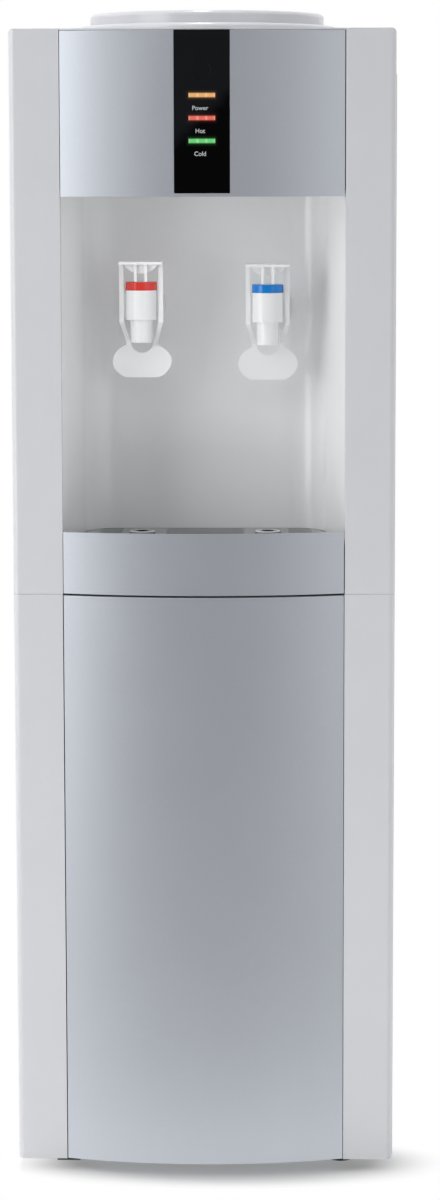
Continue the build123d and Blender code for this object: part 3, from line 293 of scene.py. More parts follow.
class Paint(Shading):
    """A material with one surface shader."""

    def __init__(self, name):
        self.material = bpy.data.materials.new(name)
        self.material.use_nodes = True
        super().__init__(self.material.node_tree)
        self.surface = self.node("ShaderNodeBsdfPrincipled")
        self.shader = self.surface.socket.node
        self.node("ShaderNodeOutputMaterial", None, {"Surface": self.surface})
        self.place = self.node("ShaderNodeTexCoord", output="Object")

    def set(self, **values):
        for name, value in values.items():
            self.feed(self.shader.inputs[name.replace("_", " ")], value)

    def noise(self, size, detail, stretch=(1, 1, 1)):
        """Soft random value whose features are about the given size in metres."""
        place = self.node("ShaderNodeMapping", None, {"Vector": self.place, "Scale": stretch})
        inputs = {"Vector": place, "Scale": 1 / size, "Detail": detail}
        return self.node("ShaderNodeTexNoise", None, inputs)

    def cells(self, size):
        """Random value for each of many cells about the given size in metres."""
        colour = self.node("ShaderNodeTexVoronoi", None, {"Vector": self.place, "Scale": 1 / size}, "Color")
        return self.node("ShaderNodeSeparateColor", None, {0: colour})

    def bump(self, height, depth):
        return self.node("ShaderNodeBump", None, {"Height": height, "Distance": depth})


def shade(colour, factor):
    """A colour made darker or lighter, with full alpha."""
    return tuple(min(1.0, channel * factor) for channel in colour[:3]) + (1.0,)


def moulded(name, colour, roughness, grain=0.9 * MM, depth=0.006 * MM):
    """Moulded plastic: faint flow marks, an orange-peel skin and uneven gloss."""
    paint = Paint(name)
    flow = paint.noise(60 * MM, 3.0)
    skin = paint.noise(grain, 2.0)
    smears = paint.noise(14 * MM, 4.0, (1, 1, 0.35))
    paint.set(Base_Color=paint.mix(flow, shade(colour, 0.975), shade(colour, 1.02)))
    paint.set(Roughness=roughness + (smears - 0.5) * (0.35 * roughness))
    paint.set(Normal=paint.bump(skin, depth), IOR=1.49)
    return paint


def powder_coat(name, colour):
    """Powder coat on sheet: a fine even pebble."""
    paint = Paint(name)
    pebble = paint.noise(0.55 * MM, 1.0)
    tone = paint.noise(90 * MM, 2.0)
    paint.set(Base_Color=paint.mix(tone, shade(colour, 0.98), shade(colour, 1.015)))
    paint.set(Roughness=0.42 + (pebble - 0.5) * 0.12, Normal=paint.bump(pebble, 0.02 * MM))
    return paint


def silver_lacquer(name, colour):
    """Metal-flake lacquer: fine flakes in colour and gloss under a satin surface."""
    paint = Paint(name)
    flake = paint.cells(0.35 * MM)
    cloud = paint.noise(45 * MM, 3.0)
    tone = flake * 0.7 + cloud * 0.3
    paint.set(Base_Color=paint.mix(tone, shade(colour, 0.955), shade(colour, 1.045)))
    paint.set(Metallic=0.9, Roughness=0.47 + (flake - 0.5) * 0.05 + (cloud - 0.5) * 0.03)
    paint.set(Normal=paint.bump(paint.noise(1.1 * MM, 2.0), 0.004 * MM))
    paint.set(Coat_Weight=0.25, Coat_Roughness=0.22)
    return paint


def metal(name, colour, roughness, brush=(1, 1, 1), metallic=1.0):
    """Bare or plated metal with streaks along one direction."""
    paint = Paint(name)
    streak = paint.noise(1.6 * MM, 3.0, brush)
    patch = paint.noise(35 * MM, 4.0)
    paint.set(Base_Color=paint.mix(patch, shade(colour, 0.86), shade(colour, 1.06)), Metallic=metallic)
    paint.set(Roughness=roughness + (streak - 0.5) * 0.16, Normal=paint.bump(streak, 0.01 * MM))
    return paint


def spangle(name, colour):
    """Galvanised sheet: zinc crystals of uneven tone."""
    paint = Paint(name)
    tone = paint.cells(9 * MM)
    grain = paint.noise(1.2 * MM, 2.0)
    paint.set(Base_Color=paint.mix(tone, shade(colour, 0.86), shade(colour, 1.08)), Metallic=0.85)
    paint.set(Roughness=0.42 + (tone - 0.5) * 0.14, Normal=paint.bump(grain, 0.006 * MM))
    return paint


def rubbery(name, colour, roughness=0.75):
    """Rubber or silicone: a fine matt skin with a little dust."""
    paint = Paint(name)
    skin = paint.noise(0.7 * MM, 3.0)
    dust = paint.noise(12 * MM, 4.0)
    paint.set(Base_Color=paint.mix(dust, shade(colour, 0.85), shade(colour, 1.25)))
    paint.set(Roughness=roughness + (skin - 0.5) * 0.12, Normal=paint.bump(skin, 0.03 * MM))
    return paint


def bead_foam(name, colour):
    """Expanded foam: pressed beads with dark lines between."""
    paint = Paint(name)
    beads = paint.node("ShaderNodeTexVoronoi", None, {"Vector": paint.place, "Scale": 1 / (3.2 * MM)})
    paint.set(Base_Color=paint.mix(beads, shade(colour, 1.0), shade(colour, 0.82)))
    paint.set(Roughness=0.85, Normal=paint.bump(1 - beads, 0.3 * MM))
    return paint


def milky(name, colour):
    """Frosted translucent plastic of the levers."""
    paint = Paint(name)
    flow = paint.noise(18 * MM, 3.0)
    skin = paint.noise(0.8 * MM, 2.0)
    paint.set(Base_Color=paint.mix(flow, shade(colour, 0.97), shade(colour, 1.03)))
    paint.set(Roughness=0.30 + (flow - 0.5) * 0.10, Normal=paint.bump(skin, 0.008 * MM))
    paint.set(Transmission_Weight=0.05, IOR=1.46)
    return paint


def lamp_glow(name, colour, centre, half_width, half_height):
    """Lit light guide: three cells, bright between them and at the ends, dim at the long edges."""
    paint = Paint(name)
    x, _, z = paint.axes(paint.place)
    cell = half_width / 3
    across = abs(x - centre.x)
    prism = 1 - paint.smooth(abs(across - cell), 0.2 * MM, 1.4 * MM)
    rim = paint.smooth(across, half_width - 1.7 * MM, half_width - 0.3 * MM)
    grain = paint.noise(0.8 * MM, 2.0)
    bright = prism * 0.6 + rim * 0.5 + (grain - 0.5) * 0.4
    pale = tuple(0.35 + 0.65 * channel for channel in colour[:3]) + (1.0,)
    light = paint.mix(bright, shade(colour, 0.95), pale)
    edge = paint.smooth(abs(z - centre.z), 0.5 * half_height, 0.85 * half_height)
    light = paint.mix(edge * 0.94, light, shade(colour, 0.06))
    paint.set(Base_Color=shade(colour, 0.12), Roughness=0.25 + grain * 0.1)
    paint.set(Emission_Color=light, Emission_Strength=0.95)
    paint.set(Normal=paint.bump(grain, 0.02 * MM))
    return paint


def window_gloss(name, colour, lamps):
    """Deep black gloss with a painted reflection, lighter at the upper left, and a painted glow of each lamp's
    light spread round it.
    """
    paint = Paint(name)
    x, _, z = paint.axes(paint.place)
    glow = (0.0, 0.0, 0.0, 1.0)
    # Painted glow: emission on the window that spreads each lamp's light round it.
    for light, centre, half_width, half_height in lamps:
        beyond_x = (abs(x - centre.x) - half_width).math("MAXIMUM", 0.0)
        beyond_z = (abs(z - centre.z) - half_height).math("MAXIMUM", 0.0)
        near = (1 - paint.smooth(paint.length(beyond_x, beyond_z), 0.0, 3.0 * MM)) ** 2.0
        glow = paint.mix(near, glow, shade(light, 0.035))
    haze_and_reflection_edge = paint.noise(20 * MM, 4.0)
    # Painted reflection: the base colour is lighter above a slanting line at the upper left, with an uneven edge.
    lowest = lamps[-1][1]
    slant = (z - lowest.z) - (x - lowest.x) * 0.93
    painted_reflection = paint.smooth(slant + (haze_and_reflection_edge - 0.5) * (16 * MM), 10 * MM, 28 * MM)
    paint.set(Base_Color=paint.mix(painted_reflection, shade(colour, 0.2), shade(colour, 2.2)))
    paint.set(Roughness=0.06 + haze_and_reflection_edge * 0.04, Specular_IOR_Level=0.09)
    paint.set(Emission_Color=glow, Emission_Strength=1.0)
    paint.set(Normal=paint.bump(paint.noise(9 * MM, 1.0), 0.002 * MM))
    return paint


# Meshes


def add_object(name, data):
    """A mesh, curve, light or camera as an object in the scene."""
    added = bpy.data.objects.new(name, data)
    bpy.context.scene.collection.objects.link(added)
    return added


def place_piece(name, mesh, paint, body):
    """A finished mesh as a piece that moves with a body."""
    piece = add_object(name, mesh)
    mesh.materials.clear()
    mesh.materials.append(paint.material)
    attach(piece, body)
    return piece


def bake_modifiers(piece):
    """The evaluated shape as a plain mesh."""
    graph = bpy.context.evaluated_depsgraph_get()
    mesh = bpy.data.meshes.new_from_object(piece.evaluated_get(graph), depsgraph=graph)
    piece.modifiers.clear()
    return mesh


def dress(node, paint):
    """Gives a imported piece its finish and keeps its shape."""
    for slot in frame["nodes"][node].material_slots:
        slot.material = paint.material


def soften(node, paint, width, segments=2, reshape=None, share=None):
    """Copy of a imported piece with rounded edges, which stands for it.

    reshape moves its corners first; share gives the part of the width that an edge gets, by its middle.
    """
    shape = bmesh.new()
    shape.from_mesh(frame["nodes"][node].data)
    bmesh.ops.remove_doubles(shape, verts=shape.verts, dist=0.001 * MM)
    if reshape:
        for vert in shape.verts:
            vert.co = reshape(vert.co)
    bmesh.ops.dissolve_limit(shape, angle_limit=FLAT, verts=shape.verts, edges=shape.edges)
    for face in shape.faces:
        face.smooth = True
    for edge in shape.edges:
        edge.smooth = True
    if share:
        weight = shape.edges.layers.float.new("bevel_weight_edge")
        for edge in shape.edges:
            if edge.calc_face_angle() > SHARP:
                edge[weight] = share((edge.verts[0].co + edge.verts[1].co) / 2)
    plain = bpy.data.meshes.new(node + "_edges")
    shape.to_mesh(plain)
    shape.free()
    draft = add_object(node + "_draft", plain)
    bevel = draft.modifiers.new("Edges", "BEVEL")
    bevel.width = width
    bevel.segments = segments
    bevel.limit_method = "WEIGHT" if share else "ANGLE"
    bevel.angle_limit = SHARP
    bevel.use_clamp_overlap = not share
    normals = draft.modifiers.new("Normals", "WEIGHTED_NORMAL")
    normals.keep_sharp = True
    baked = bake_modifiers(draft)
    bpy.data.objects.remove(draft)
    baked.name = node + "_finished"
    piece = place_piece(node + "_finished", baked, paint, node_body[node])
    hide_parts(node)


def middle(node):
    """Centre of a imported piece's box."""
    low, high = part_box(node)
    return (low + high) / 2


# Geometry node trees


class NodeTree:
    """A geometry tree with named inputs, built by calls."""
    kinds = {float: "NodeSocketFloat", int: "NodeSocketInt", tuple: "NodeSocketVector"}

    def __init__(self, name, defaults):
        self.tree = bpy.data.node_groups.new(name, "GeometryNodeTree")
        sockets = self.tree.interface
        sockets.new_socket("Geometry", in_out="INPUT", socket_type="NodeSocketGeometry")
        sockets.new_socket("Geometry", in_out="OUTPUT", socket_type="NodeSocketGeometry")
        self.identifiers = {}
        for key, default in defaults.items():
            socket = sockets.new_socket(key, in_out="INPUT", socket_type=self.kinds[type(default)])
            socket.default_value = default
            self.identifiers[key] = socket.identifier
        self.entry = self.tree.nodes.new("NodeGroupInput")

    def taken(self, name):
        return self.entry.outputs[name]

    def node(self, kind, settings=None, inputs=None, output=0):
        node = self.tree.nodes.new(kind)
        for name, value in (settings or {}).items():
            setattr(node, name, value)
        for name, value in (inputs or {}).items():
            for single in value if isinstance(value, list) else [value]:
                if isinstance(single, bpy.types.NodeSocket):
                    self.tree.links.new(single, node.inputs[name])
                else:
                    node.inputs[name].default_value = single
        return node.outputs[output]

    def finish(self, piece, paint, **spread):
        """Sets the piece on each point of the seed and paints it."""
        spread.update(Points=self.taken("Geometry"), Instance=piece)
        placed = self.node("GeometryNodeInstanceOnPoints", None, spread)
        real = self.node("GeometryNodeRealizeInstances", None, {"Geometry": placed})
        painted = self.node("GeometryNodeSetMaterial", None, {"Geometry": real, "Material": paint.material})
        leave = self.tree.nodes.new("NodeGroupOutput")
        self.tree.links.new(painted, leave.inputs["Geometry"])

    def grow(self, name, start, values):
        """Runs the tree on a starting mesh and returns a plain mesh."""
        seed = add_object(name + "_seed", start)
        modifier = seed.modifiers.new("Tree", "NODES")
        modifier.node_group = self.tree
        for key, value in values.items():
            modifier[self.identifiers[key]] = value
        mesh = bake_modifiers(seed)
        bpy.data.objects.remove(seed)
        mesh.name = name
        return mesh


def screw_tree(paint):
    """Domed screw heads with a cross recess, one on each point of the seed."""
    tree = NodeTree("Domed screws", {"Radius": 3.4 * MM, "Facing": (0.0, 1.0, 0.0)})
    radius = tree.taken("Radius")
    ball = {"Segments": 24, "Rings": 12, "Radius": radius}
    ball = tree.node("GeometryNodeMeshUVSphere", None, ball, "Mesh")
    dome = tree.node("GeometryNodeTransform", None, {"Geometry": ball, "Scale": (1, 1, 0.5)})
    bars = []
    for turn in (0.0, math.pi / 2):
        bar = tree.node("GeometryNodeMeshCube", None, {"Size": (1.1, 0.22, 0.6)}, "Mesh")
        bars.append(tree.node("GeometryNodeTransform", None, {"Geometry": bar, "Rotation": (0, 0, turn)}))
    cross = tree.node("GeometryNodeJoinGeometry", None, {"Geometry": bars})
    cross = tree.node("GeometryNodeTransform", None, {"Geometry": cross, "Translation": (0, 0, 0.55)})
    size = tree.node("ShaderNodeCombineXYZ", None, {"X": radius, "Y": radius, "Z": radius})
    cross = tree.node("GeometryNodeTransform", None, {"Geometry": cross, "Scale": size})
    recess = {"Mesh 1": dome, "Mesh 2": cross, "Self Intersection": True}
    head = tree.node("GeometryNodeMeshBoolean", {"operation": "DIFFERENCE", "solver": "EXACT"}, recess)
    turn = tree.node("FunctionNodeAlignRotationToVector", {"axis": "Z"}, {"Vector": tree.taken("Facing")})
    tree.finish(head, paint, Rotation=turn)
    return tree


def wire_tree(paint):
    """Upright wires: a few in each gap, gap after gap, on both faces, from the seed's point on."""
    tree = NodeTree("Condenser wires", {
        "Radius": 0.8 * MM, "Length": 616 * MM, "In a gap": 2, "Wire step": (6 * MM, 0.0, 0.0),
        "Gaps": 10, "Gap step": (18 * MM, 0.0, 0.0), "Face step": (0.0, 6.48 * MM, 0.0),
    })
    rod = {"Vertices": 12, "Radius": tree.taken("Radius"), "Depth": tree.taken("Length")}
    piece = tree.node("GeometryNodeMeshCylinder", None, rod, "Mesh")
    piece = tree.node("GeometryNodeSetShadeSmooth", None, {"Geometry": piece, "Shade Smooth": True})
    first = tree.taken("Wire step")
    rows = (
        (tree.taken("In a gap"), first, first),
        (tree.taken("Gaps"), (0, 0, 0), tree.taken("Gap step")),
        (2, (0, 0, 0), tree.taken("Face step")),
    )
    for count, start, step in rows:
        row = {"Count": count, "Start Location": start, "Offset": step}
        points = tree.node("GeometryNodeMeshLine", None, row)
        piece = tree.node("GeometryNodeInstanceOnPoints", None, {"Points": points, "Instance": piece})
    tree.finish(piece, paint)
    return tree


def spring_tree(paint):
    """A wound wire spring that stands on each point of the seed."""
    tree = NodeTree("Tap spring", {"Radius": 6.9 * MM, "Wire": 0.6 * MM, "Height": 12 * MM, "Turns": 4.5})
    radius = tree.taken("Radius")
    winding = {"Resolution": 32, "Rotations": tree.taken("Turns"), "Start Radius": radius,
               "End Radius": radius, "Height": tree.taken("Height")}
    helix = tree.node("GeometryNodeCurveSpiral", None, winding)
    section = {"Resolution": 10, "Radius": tree.taken("Wire")}
    section = tree.node("GeometryNodeCurvePrimitiveCircle", {"mode": "RADIUS"}, section)
    swept = {"Curve": helix, "Profile Curve": section, "Fill Caps": True}
    wire = tree.node("GeometryNodeCurveToMesh", None, swept)
    wire = tree.node("GeometryNodeSetShadeSmooth", None, {"Geometry": wire, "Shade Smooth": True})
    tree.finish(wire, paint)
    return tree


def points_mesh(name, points):
    """Loose points on which a tree sets its pieces."""
    mesh = bpy.data.meshes.new(name)
    mesh.from_pydata([tuple(point) for point in points], [], [])
    return mesh


# Operators, one for each piece or group of like pieces


class COOLER_OT_cabinet(bpy.types.Operator):
    """White cabinet: frames, side sheets, top cover, back, base and feet"""
    bl_idname = "cooler.cabinet"
    bl_label = "Cabinet"
    bl_options = {"REGISTER", "UNDO"}

    def execute(self, context):
        finish = context.scene.cooler_finish
        plastic = moulded("cabinet_plastic", finish.cabinet_white, 0.22)
        sheet = powder_coat("cabinet_powder_coat", finish.cabinet_white)
        zinc = spangle("zinc_sheet", (0.52, 0.53, 0.54))
        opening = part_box("door_panel")[1].x
        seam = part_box("upper_front_frame")[0].z
        side_gap = 1.5 * MM
        seam_gap = 1.2 * MM

        def reach_into_gaps(corner):
            """Moves edges into the gaps, half as far at one side, and the lower frame's top up."""
            side = abs(corner.x)
            lip = finish.seam_lip if opening < side < opening + side_gap else 0.0
            if (corner.x > 0) != (corner.z < seam):
                lip /= 2
            tongue = finish.seam_tongue if seam - seam_gap < corner.z < seam else 0.0
            return Vector((math.copysign(side - lip, corner.x), corner.y, corner.z + tongue))

        for node in ("upper_front_frame", "lower_front_frame"):
            soften(node, plastic, finish.seam_edge, reshape=reach_into_gaps)
        soften("top_cover", plastic, finish.plastic_edge, 3)
        for node in ("side_panel_left", "side_panel_right"):
            soften(node, sheet, finish.sheet_edge)
        soften("back_panel", zinc, finish.sheet_edge, 1)
        soften("base_plate", zinc, finish.sheet_edge)
        soften("feet", rubbery("foot_rubber", (0.03, 0.03, 0.03)), finish.plastic_edge)
        return {"FINISHED"}


class COOLER_OT_silver_panels(bpy.types.Operator):
    """Bowed silver fascia, tray front and door"""
    bl_idname = "cooler.silver_panels"
    bl_label = "Silver panels"
    bl_options = {"REGISTER", "UNDO"}

    def execute(self, context):
        finish = context.scene.cooler_finish
        silver = silver_lacquer("silver_lacquer", finish.silver)
        tray_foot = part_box("tray_front")[0].z
        door_low, door_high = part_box("door_panel")

        def reach_down(corner):
            """Moves the foot of the tray's front down."""
            drop = finish.tray_drop if corner.z < tray_foot + TOUCH else 0.0
            return corner - Vector((0, 0, drop))

        def lit_edges(place):
            """Full rounding along the top of the door, little along its left, least along the rest."""
            if place.z > door_high.z - TOUCH:
                return 1.0
            least = finish.seam_edge / finish.door_edge
            return 2 * least if place.x < door_low.x + TOUCH else least

        soften("top_fascia", silver, finish.seam_edge)
        soften("tray_front", silver, finish.seam_edge, reshape=reach_down)
        soften("door_panel", silver, finish.door_edge, share=lit_edges)
        return {"FINISHED"}


class COOLER_OT_display(bpy.types.Operator):
    """Black window, three lamps and their words"""
    bl_idname = "cooler.display"
    bl_label = "Display"
    bl_options = {"REGISTER", "UNDO"}

    def execute(self, context):
        finish = context.scene.cooler_finish
        trim = context.scene.cooler_trim
        lamps = {"Power": finish.power_amber, "Hot": finish.heat_red, "Cold": finish.cool_green}
        print_white = moulded("print_white", (0.62, 0.63, 0.65), 0.5)
        spread = []
        for word, light in lamps.items():
            node = word.lower() + "_lens"
            low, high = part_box(node)
            centre = middle(node)
            half_width = (high.x - low.x) / 2
            half_height = (high.z - low.z) / 2
            glow = lamp_glow(node + "_light", light, centre, half_width, half_height)
            soften(node, glow, 0.35 * finish.plastic_edge)
            spread.append((light, centre, half_width, half_height))
            self.word(word, centre, trim, print_white)
        gloss = window_gloss("window_gloss", finish.window_black, spread)
        soften("display_window", gloss, 0.4 * finish.plastic_edge)
        return {"FINISHED"}

    def word(self, text, lamp, trim, paint):
        """A word printed on the window under its lamp."""
        curve = bpy.data.curves.new(text, "FONT")
        curve.body = text
        curve.align_x = "CENTER"
        curve.align_y = "CENTER"
        curve.size = trim.word_height / CAPITAL
        curve.extrude = 0.03 * MM
        curve.offset = 0.02 * MM
        draft = add_object(text, curve)
        mesh = bake_modifiers(draft)
        bpy.data.objects.remove(draft)
        proud = 0.02 * MM
        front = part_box("display_window")[0].y - proud
        upright = Matrix.Rotation(math.pi / 2, 4, "X")
        spot = Vector((lamp.x - trim.word_shift, front, lamp.z - trim.word_drop))
        mesh.transform(Matrix.Translation(spot) @ upright)
        place_piece("word_" + text.lower(), mesh, paint, "root")


class COOLER_OT_bottle_seat(bpy.types.Operator):
    """Collar and bowl that take the bottle, with the feed probe"""
    bl_idname = "cooler.bottle_seat"
    bl_label = "Bottle seat"
    bl_options = {"REGISTER", "UNDO"}

    def execute(self, context):
        finish = context.scene.cooler_finish
        dress("bottle_seat", moulded("seat_plastic", finish.cabinet_white, 0.18))
        soften("feed_probe", moulded("probe_plastic", (0.80, 0.81, 0.82), 0.2), 0.4 * finish.plastic_edge)
        return {"FINISHED"}


class COOLER_OT_niche(bpy.types.Operator):
    """Glossy recess round the taps"""
    bl_idname = "cooler.niche"
    bl_label = "Niche"
    bl_options = {"REGISTER", "UNDO"}

    def execute(self, context):
        finish = context.scene.cooler_finish
        dress("dispensing_niche", moulded("niche_gloss", finish.niche_white, 0.17, 2.5 * MM, 0.004 * MM))
        return {"FINISHED"}


class COOLER_OT_taps(bpy.types.Operator):
    """Hot and cold taps with their caps, stems and levers"""
    bl_idname = "cooler.taps"
    bl_label = "Taps"
    bl_options = {"REGISTER", "UNDO"}

    def execute(self, context):
        finish = context.scene.cooler_finish
        trim = context.scene.cooler_trim
        white = moulded("tap_plastic", (0.88, 0.885, 0.89), 0.16)
        frosted = milky("lever_milk", (0.95, 0.955, 0.96))
        hidden = rubbery("valve_silicone", (0.74, 0.74, 0.72), 0.5)
        wire = metal("spring_steel", (0.60, 0.60, 0.61), 0.3)
        springs = spring_tree(wire)
        caps = {"hot": finish.hot_red, "cold": finish.cold_blue}
        for side, colour in caps.items():
            soften(side + "_tap_body", white, 0.5 * finish.plastic_edge)
            soften(side + "_tap_cap", moulded(side + "_cap_gloss", colour, 0.14), 0.4 * finish.plastic_edge)
            soften(side + "_tap_stem", white, 0.3 * finish.plastic_edge)
            soften(side + "_lever", frosted, 0.7 * finish.plastic_edge, 3)
            dress(side + "_tap_seal", hidden)
            self.spring(side, trim, springs, wire)
        dress("tap_nuts", white)
        return {"FINISHED"}

    def spring(self, side, trim, tree, paint):
        """A wire spring between stem and cap."""
        node = side + "_tap_spring"
        low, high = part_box(node)
        centre = middle(node)
        foot = Vector((centre.x, centre.y, low.z + trim.spring_wire))
        height = high.z - low.z
        values = {
            "Radius": (high.x - low.x) / 2 - trim.spring_wire, "Wire": trim.spring_wire,
            "Height": height - 2 * trim.spring_wire, "Turns": trim.spring_turns,
        }
        mesh = tree.grow(node + "_wound", points_mesh(node + "_foot", [foot]), values)
        piece = place_piece(node + "_wound", mesh, paint, node_body[node])
        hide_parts(node)
        lift = next(joint for joint in frame["joints"] if joint["name"] == side + "_stem_lift")
        keep = 1 - lift["range_m"][1] / height
        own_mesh(piece)


class COOLER_OT_drip_tray(bpy.types.Operator):
    """Dark basin and its grille"""
    bl_idname = "cooler.drip_tray"
    bl_label = "Drip tray"
    bl_options = {"REGISTER", "UNDO"}

    def execute(self, context):
        finish = context.scene.cooler_finish
        dark = moulded("grille_gloss", finish.grille_grey, 0.16)
        self.collars(dark, finish.grille_grey)
        soften("drip_basin", moulded("basin_gloss", finish.grille_grey, 0.24), 0.5 * finish.plastic_edge)
        soften("drip_grille", dark, 0.4 * finish.plastic_edge)
        return {"FINISHED"}

    def collars(self, paint, colour):
        """Paints a highlight on the rims of the collars under the taps and paints shade in their holes."""
        hole = 5.6 * MM
        ledge = 6.6 * MM
        rim = 8.4 * MM
        rim_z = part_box("drip_grille")[1].z
        x, y, z = paint.axes(paint.place)
        # Painted highlight: a lighter base colour on the top of each collar's rim.
        painted_highlight = paint.smooth(z, rim_z - 0.7 * MM, rim_z - 0.2 * MM)
        outside_hole_shade = 1.0
        for node in ("hot_tap_stem", "cold_tap_stem"):
            centre = middle(node)
            reach = paint.length(x - centre.x, y - centre.y)
            painted_highlight = painted_highlight * paint.smooth(reach, ledge, rim)
            outside_hole_shade = outside_hole_shade * paint.smooth(reach, hole, ledge)
        # Painted shade: the base colour goes nearly black inside each hole.
        plain = Value(paint, paint.shader.inputs["Base Color"].links[0].from_socket)
        bright = paint.mix(painted_highlight, plain, shade(colour, 3.2))
        paint.set(Base_Color=paint.mix(outside_hole_shade, shade(colour, 0.05), bright))


class COOLER_OT_cupboard(bpy.types.Operator):
    """Inside of the door and the cupboard, with hinges and catch"""
    bl_idname = "cooler.cupboard"
    bl_label = "Cupboard"
    bl_options = {"REGISTER", "UNDO"}

    def execute(self, context):
        finish = context.scene.cooler_finish
        plastic = moulded("liner_plastic", finish.cabinet_white, 0.34, 0.7 * MM, 0.02 * MM)
        black = metal("black_enamel", (0.02, 0.02, 0.022), 0.4, metallic=0.0)
        for node in ("door_liner", "storage_liner"):
            soften(node, plastic, finish.plastic_edge)
        for node in ("upper_hinge", "lower_hinge"):
            soften(node, black, finish.sheet_edge)
        soften("magnet_catch", moulded("catch_plastic", (0.03, 0.03, 0.032), 0.45), finish.sheet_edge)
        steel = metal("strike_steel", (0.62, 0.62, 0.63), 0.3, (0.1, 1, 1))
        soften("strike_plate", steel, finish.sheet_edge)
        return {"FINISHED"}


class COOLER_OT_cooling(bpy.types.Operator):
    """Condenser, pipes, drier and compressor"""
    bl_idname = "cooler.cooling"
    bl_label = "Cooling"
    bl_options = {"REGISTER", "UNDO"}

    def execute(self, context):
        trim = context.scene.cooler_trim
        enamel = metal("condenser_enamel", (0.016, 0.016, 0.018), 0.45, metallic=0.0)
        copper = metal("copper_tube", (0.72, 0.36, 0.22), 0.28)
        dress("condenser", enamel)
        self.wires(trim, enamel)
        for node in ("refrigerant_pipes", "filter_drier", "evaporator_coil"):
            dress(node, copper)
        dress("compressor", metal("compressor_paint", (0.018, 0.018, 0.02), 0.35, metallic=0.0))
        dress("compressor_grommets", rubbery("grommet_rubber", (0.035, 0.035, 0.035)))
        dress("start_relay", moulded("relay_plastic", (0.035, 0.035, 0.038), 0.5))
        return {"FINISHED"}

    def wires(self, trim, paint):
        """Thin wires between the thick ones, on both faces of the condenser."""
        gap = trim.wire_span / trim.wire_gaps
        near_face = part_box("condenser")[1].y - trim.wire_radius - trim.wire_faces
        first = Vector((-trim.wire_span / 2, near_face, middle("condenser").z))
        values = {
            "Radius": trim.wire_radius, "Length": trim.wire_length, "In a gap": trim.wires_between,
            "Wire step": (gap / (trim.wires_between + 1), 0.0, 0.0), "Gaps": trim.wire_gaps,
            "Gap step": (gap, 0.0, 0.0), "Face step": (0.0, trim.wire_faces, 0.0),
        }
        mesh = wire_tree(paint).grow("condenser_wires", points_mesh("first_wire", [first]), values)
        place_piece("condenser_wires", mesh, paint, node_body["condenser"])


class COOLER_OT_tanks(bpy.types.Operator):
    """Tanks, insulation, hoses, shelf and board inside the cabinet"""
    bl_idname = "cooler.tanks"
    bl_label = "Tanks"
    bl_options = {"REGISTER", "UNDO"}

    def execute(self, context):
        steel = metal("tank_steel", (0.62, 0.62, 0.63), 0.26, (1, 1, 0.1))
        foam = bead_foam("bead_foam", (0.82, 0.82, 0.81))
        for node in ("cold_tank", "hot_tank"):
            dress(node, steel)
        for node in ("cold_tank_foam", "hot_tank_foam"):
            dress(node, foam)
        dress("thermostats", moulded("thermostat_plastic", (0.03, 0.03, 0.03), 0.5))
        dress("water_hoses", rubbery("hose_silicone", (0.76, 0.76, 0.74), 0.4))
        dress("tank_shelf", spangle("shelf_zinc", (0.55, 0.56, 0.57)))
        dress("control_board", moulded("board_laminate", (0.03, 0.16, 0.07), 0.4))
        return {"FINISHED"}


class COOLER_OT_rear(bpy.types.Operator):
    """Switches, gland, drain and the screws of the back"""
    bl_idname = "cooler.rear"
    bl_label = "Rear fittings"
    bl_options = {"REGISTER", "UNDO"}

    def execute(self, context):
        finish = context.scene.cooler_finish
        trim = context.scene.cooler_trim
        black = moulded("switch_plastic", (0.025, 0.025, 0.027), 0.35)
        edge = 0.5 * finish.plastic_edge
        for node in ("switch_bodies", "cable_gland"):
            soften(node, black, edge)
        soften("hot_rocker", moulded("rocker_red_gloss", (0.55, 0.02, 0.015), 0.2), edge)
        soften("cold_rocker", moulded("rocker_green_gloss", (0.012, 0.24, 0.06), 0.2), edge)
        white = moulded("drain_plastic", (0.74, 0.75, 0.76), 0.3)
        for node in ("drain_fitting", "drain_cap"):
            soften(node, white, edge)
        self.screws(trim, metal("screw_zinc", (0.55, 0.56, 0.57), 0.32))
        return {"FINISHED"}

    def screws(self, trim, paint):
        """Screws down both edges of the back."""
        low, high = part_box("side_panel_right")
        step = (high.z - low.z - trim.screw_foot - trim.screw_head_room) / (trim.screws_a_side - 1)
        points = []
        for index in range(trim.screws_a_side):
            z = low.z + trim.screw_foot + index * step
            points += [Vector((side * (high.x - trim.screw_inset), high.y, z)) for side in (-1, 1)]
        values = {"Radius": trim.screw_radius, "Facing": (0.0, 1.0, 0.0)}
        mesh = screw_tree(paint).grow("back_screws", points_mesh("screw_places", points), values)
        place_piece("back_screws", mesh, paint, "root")


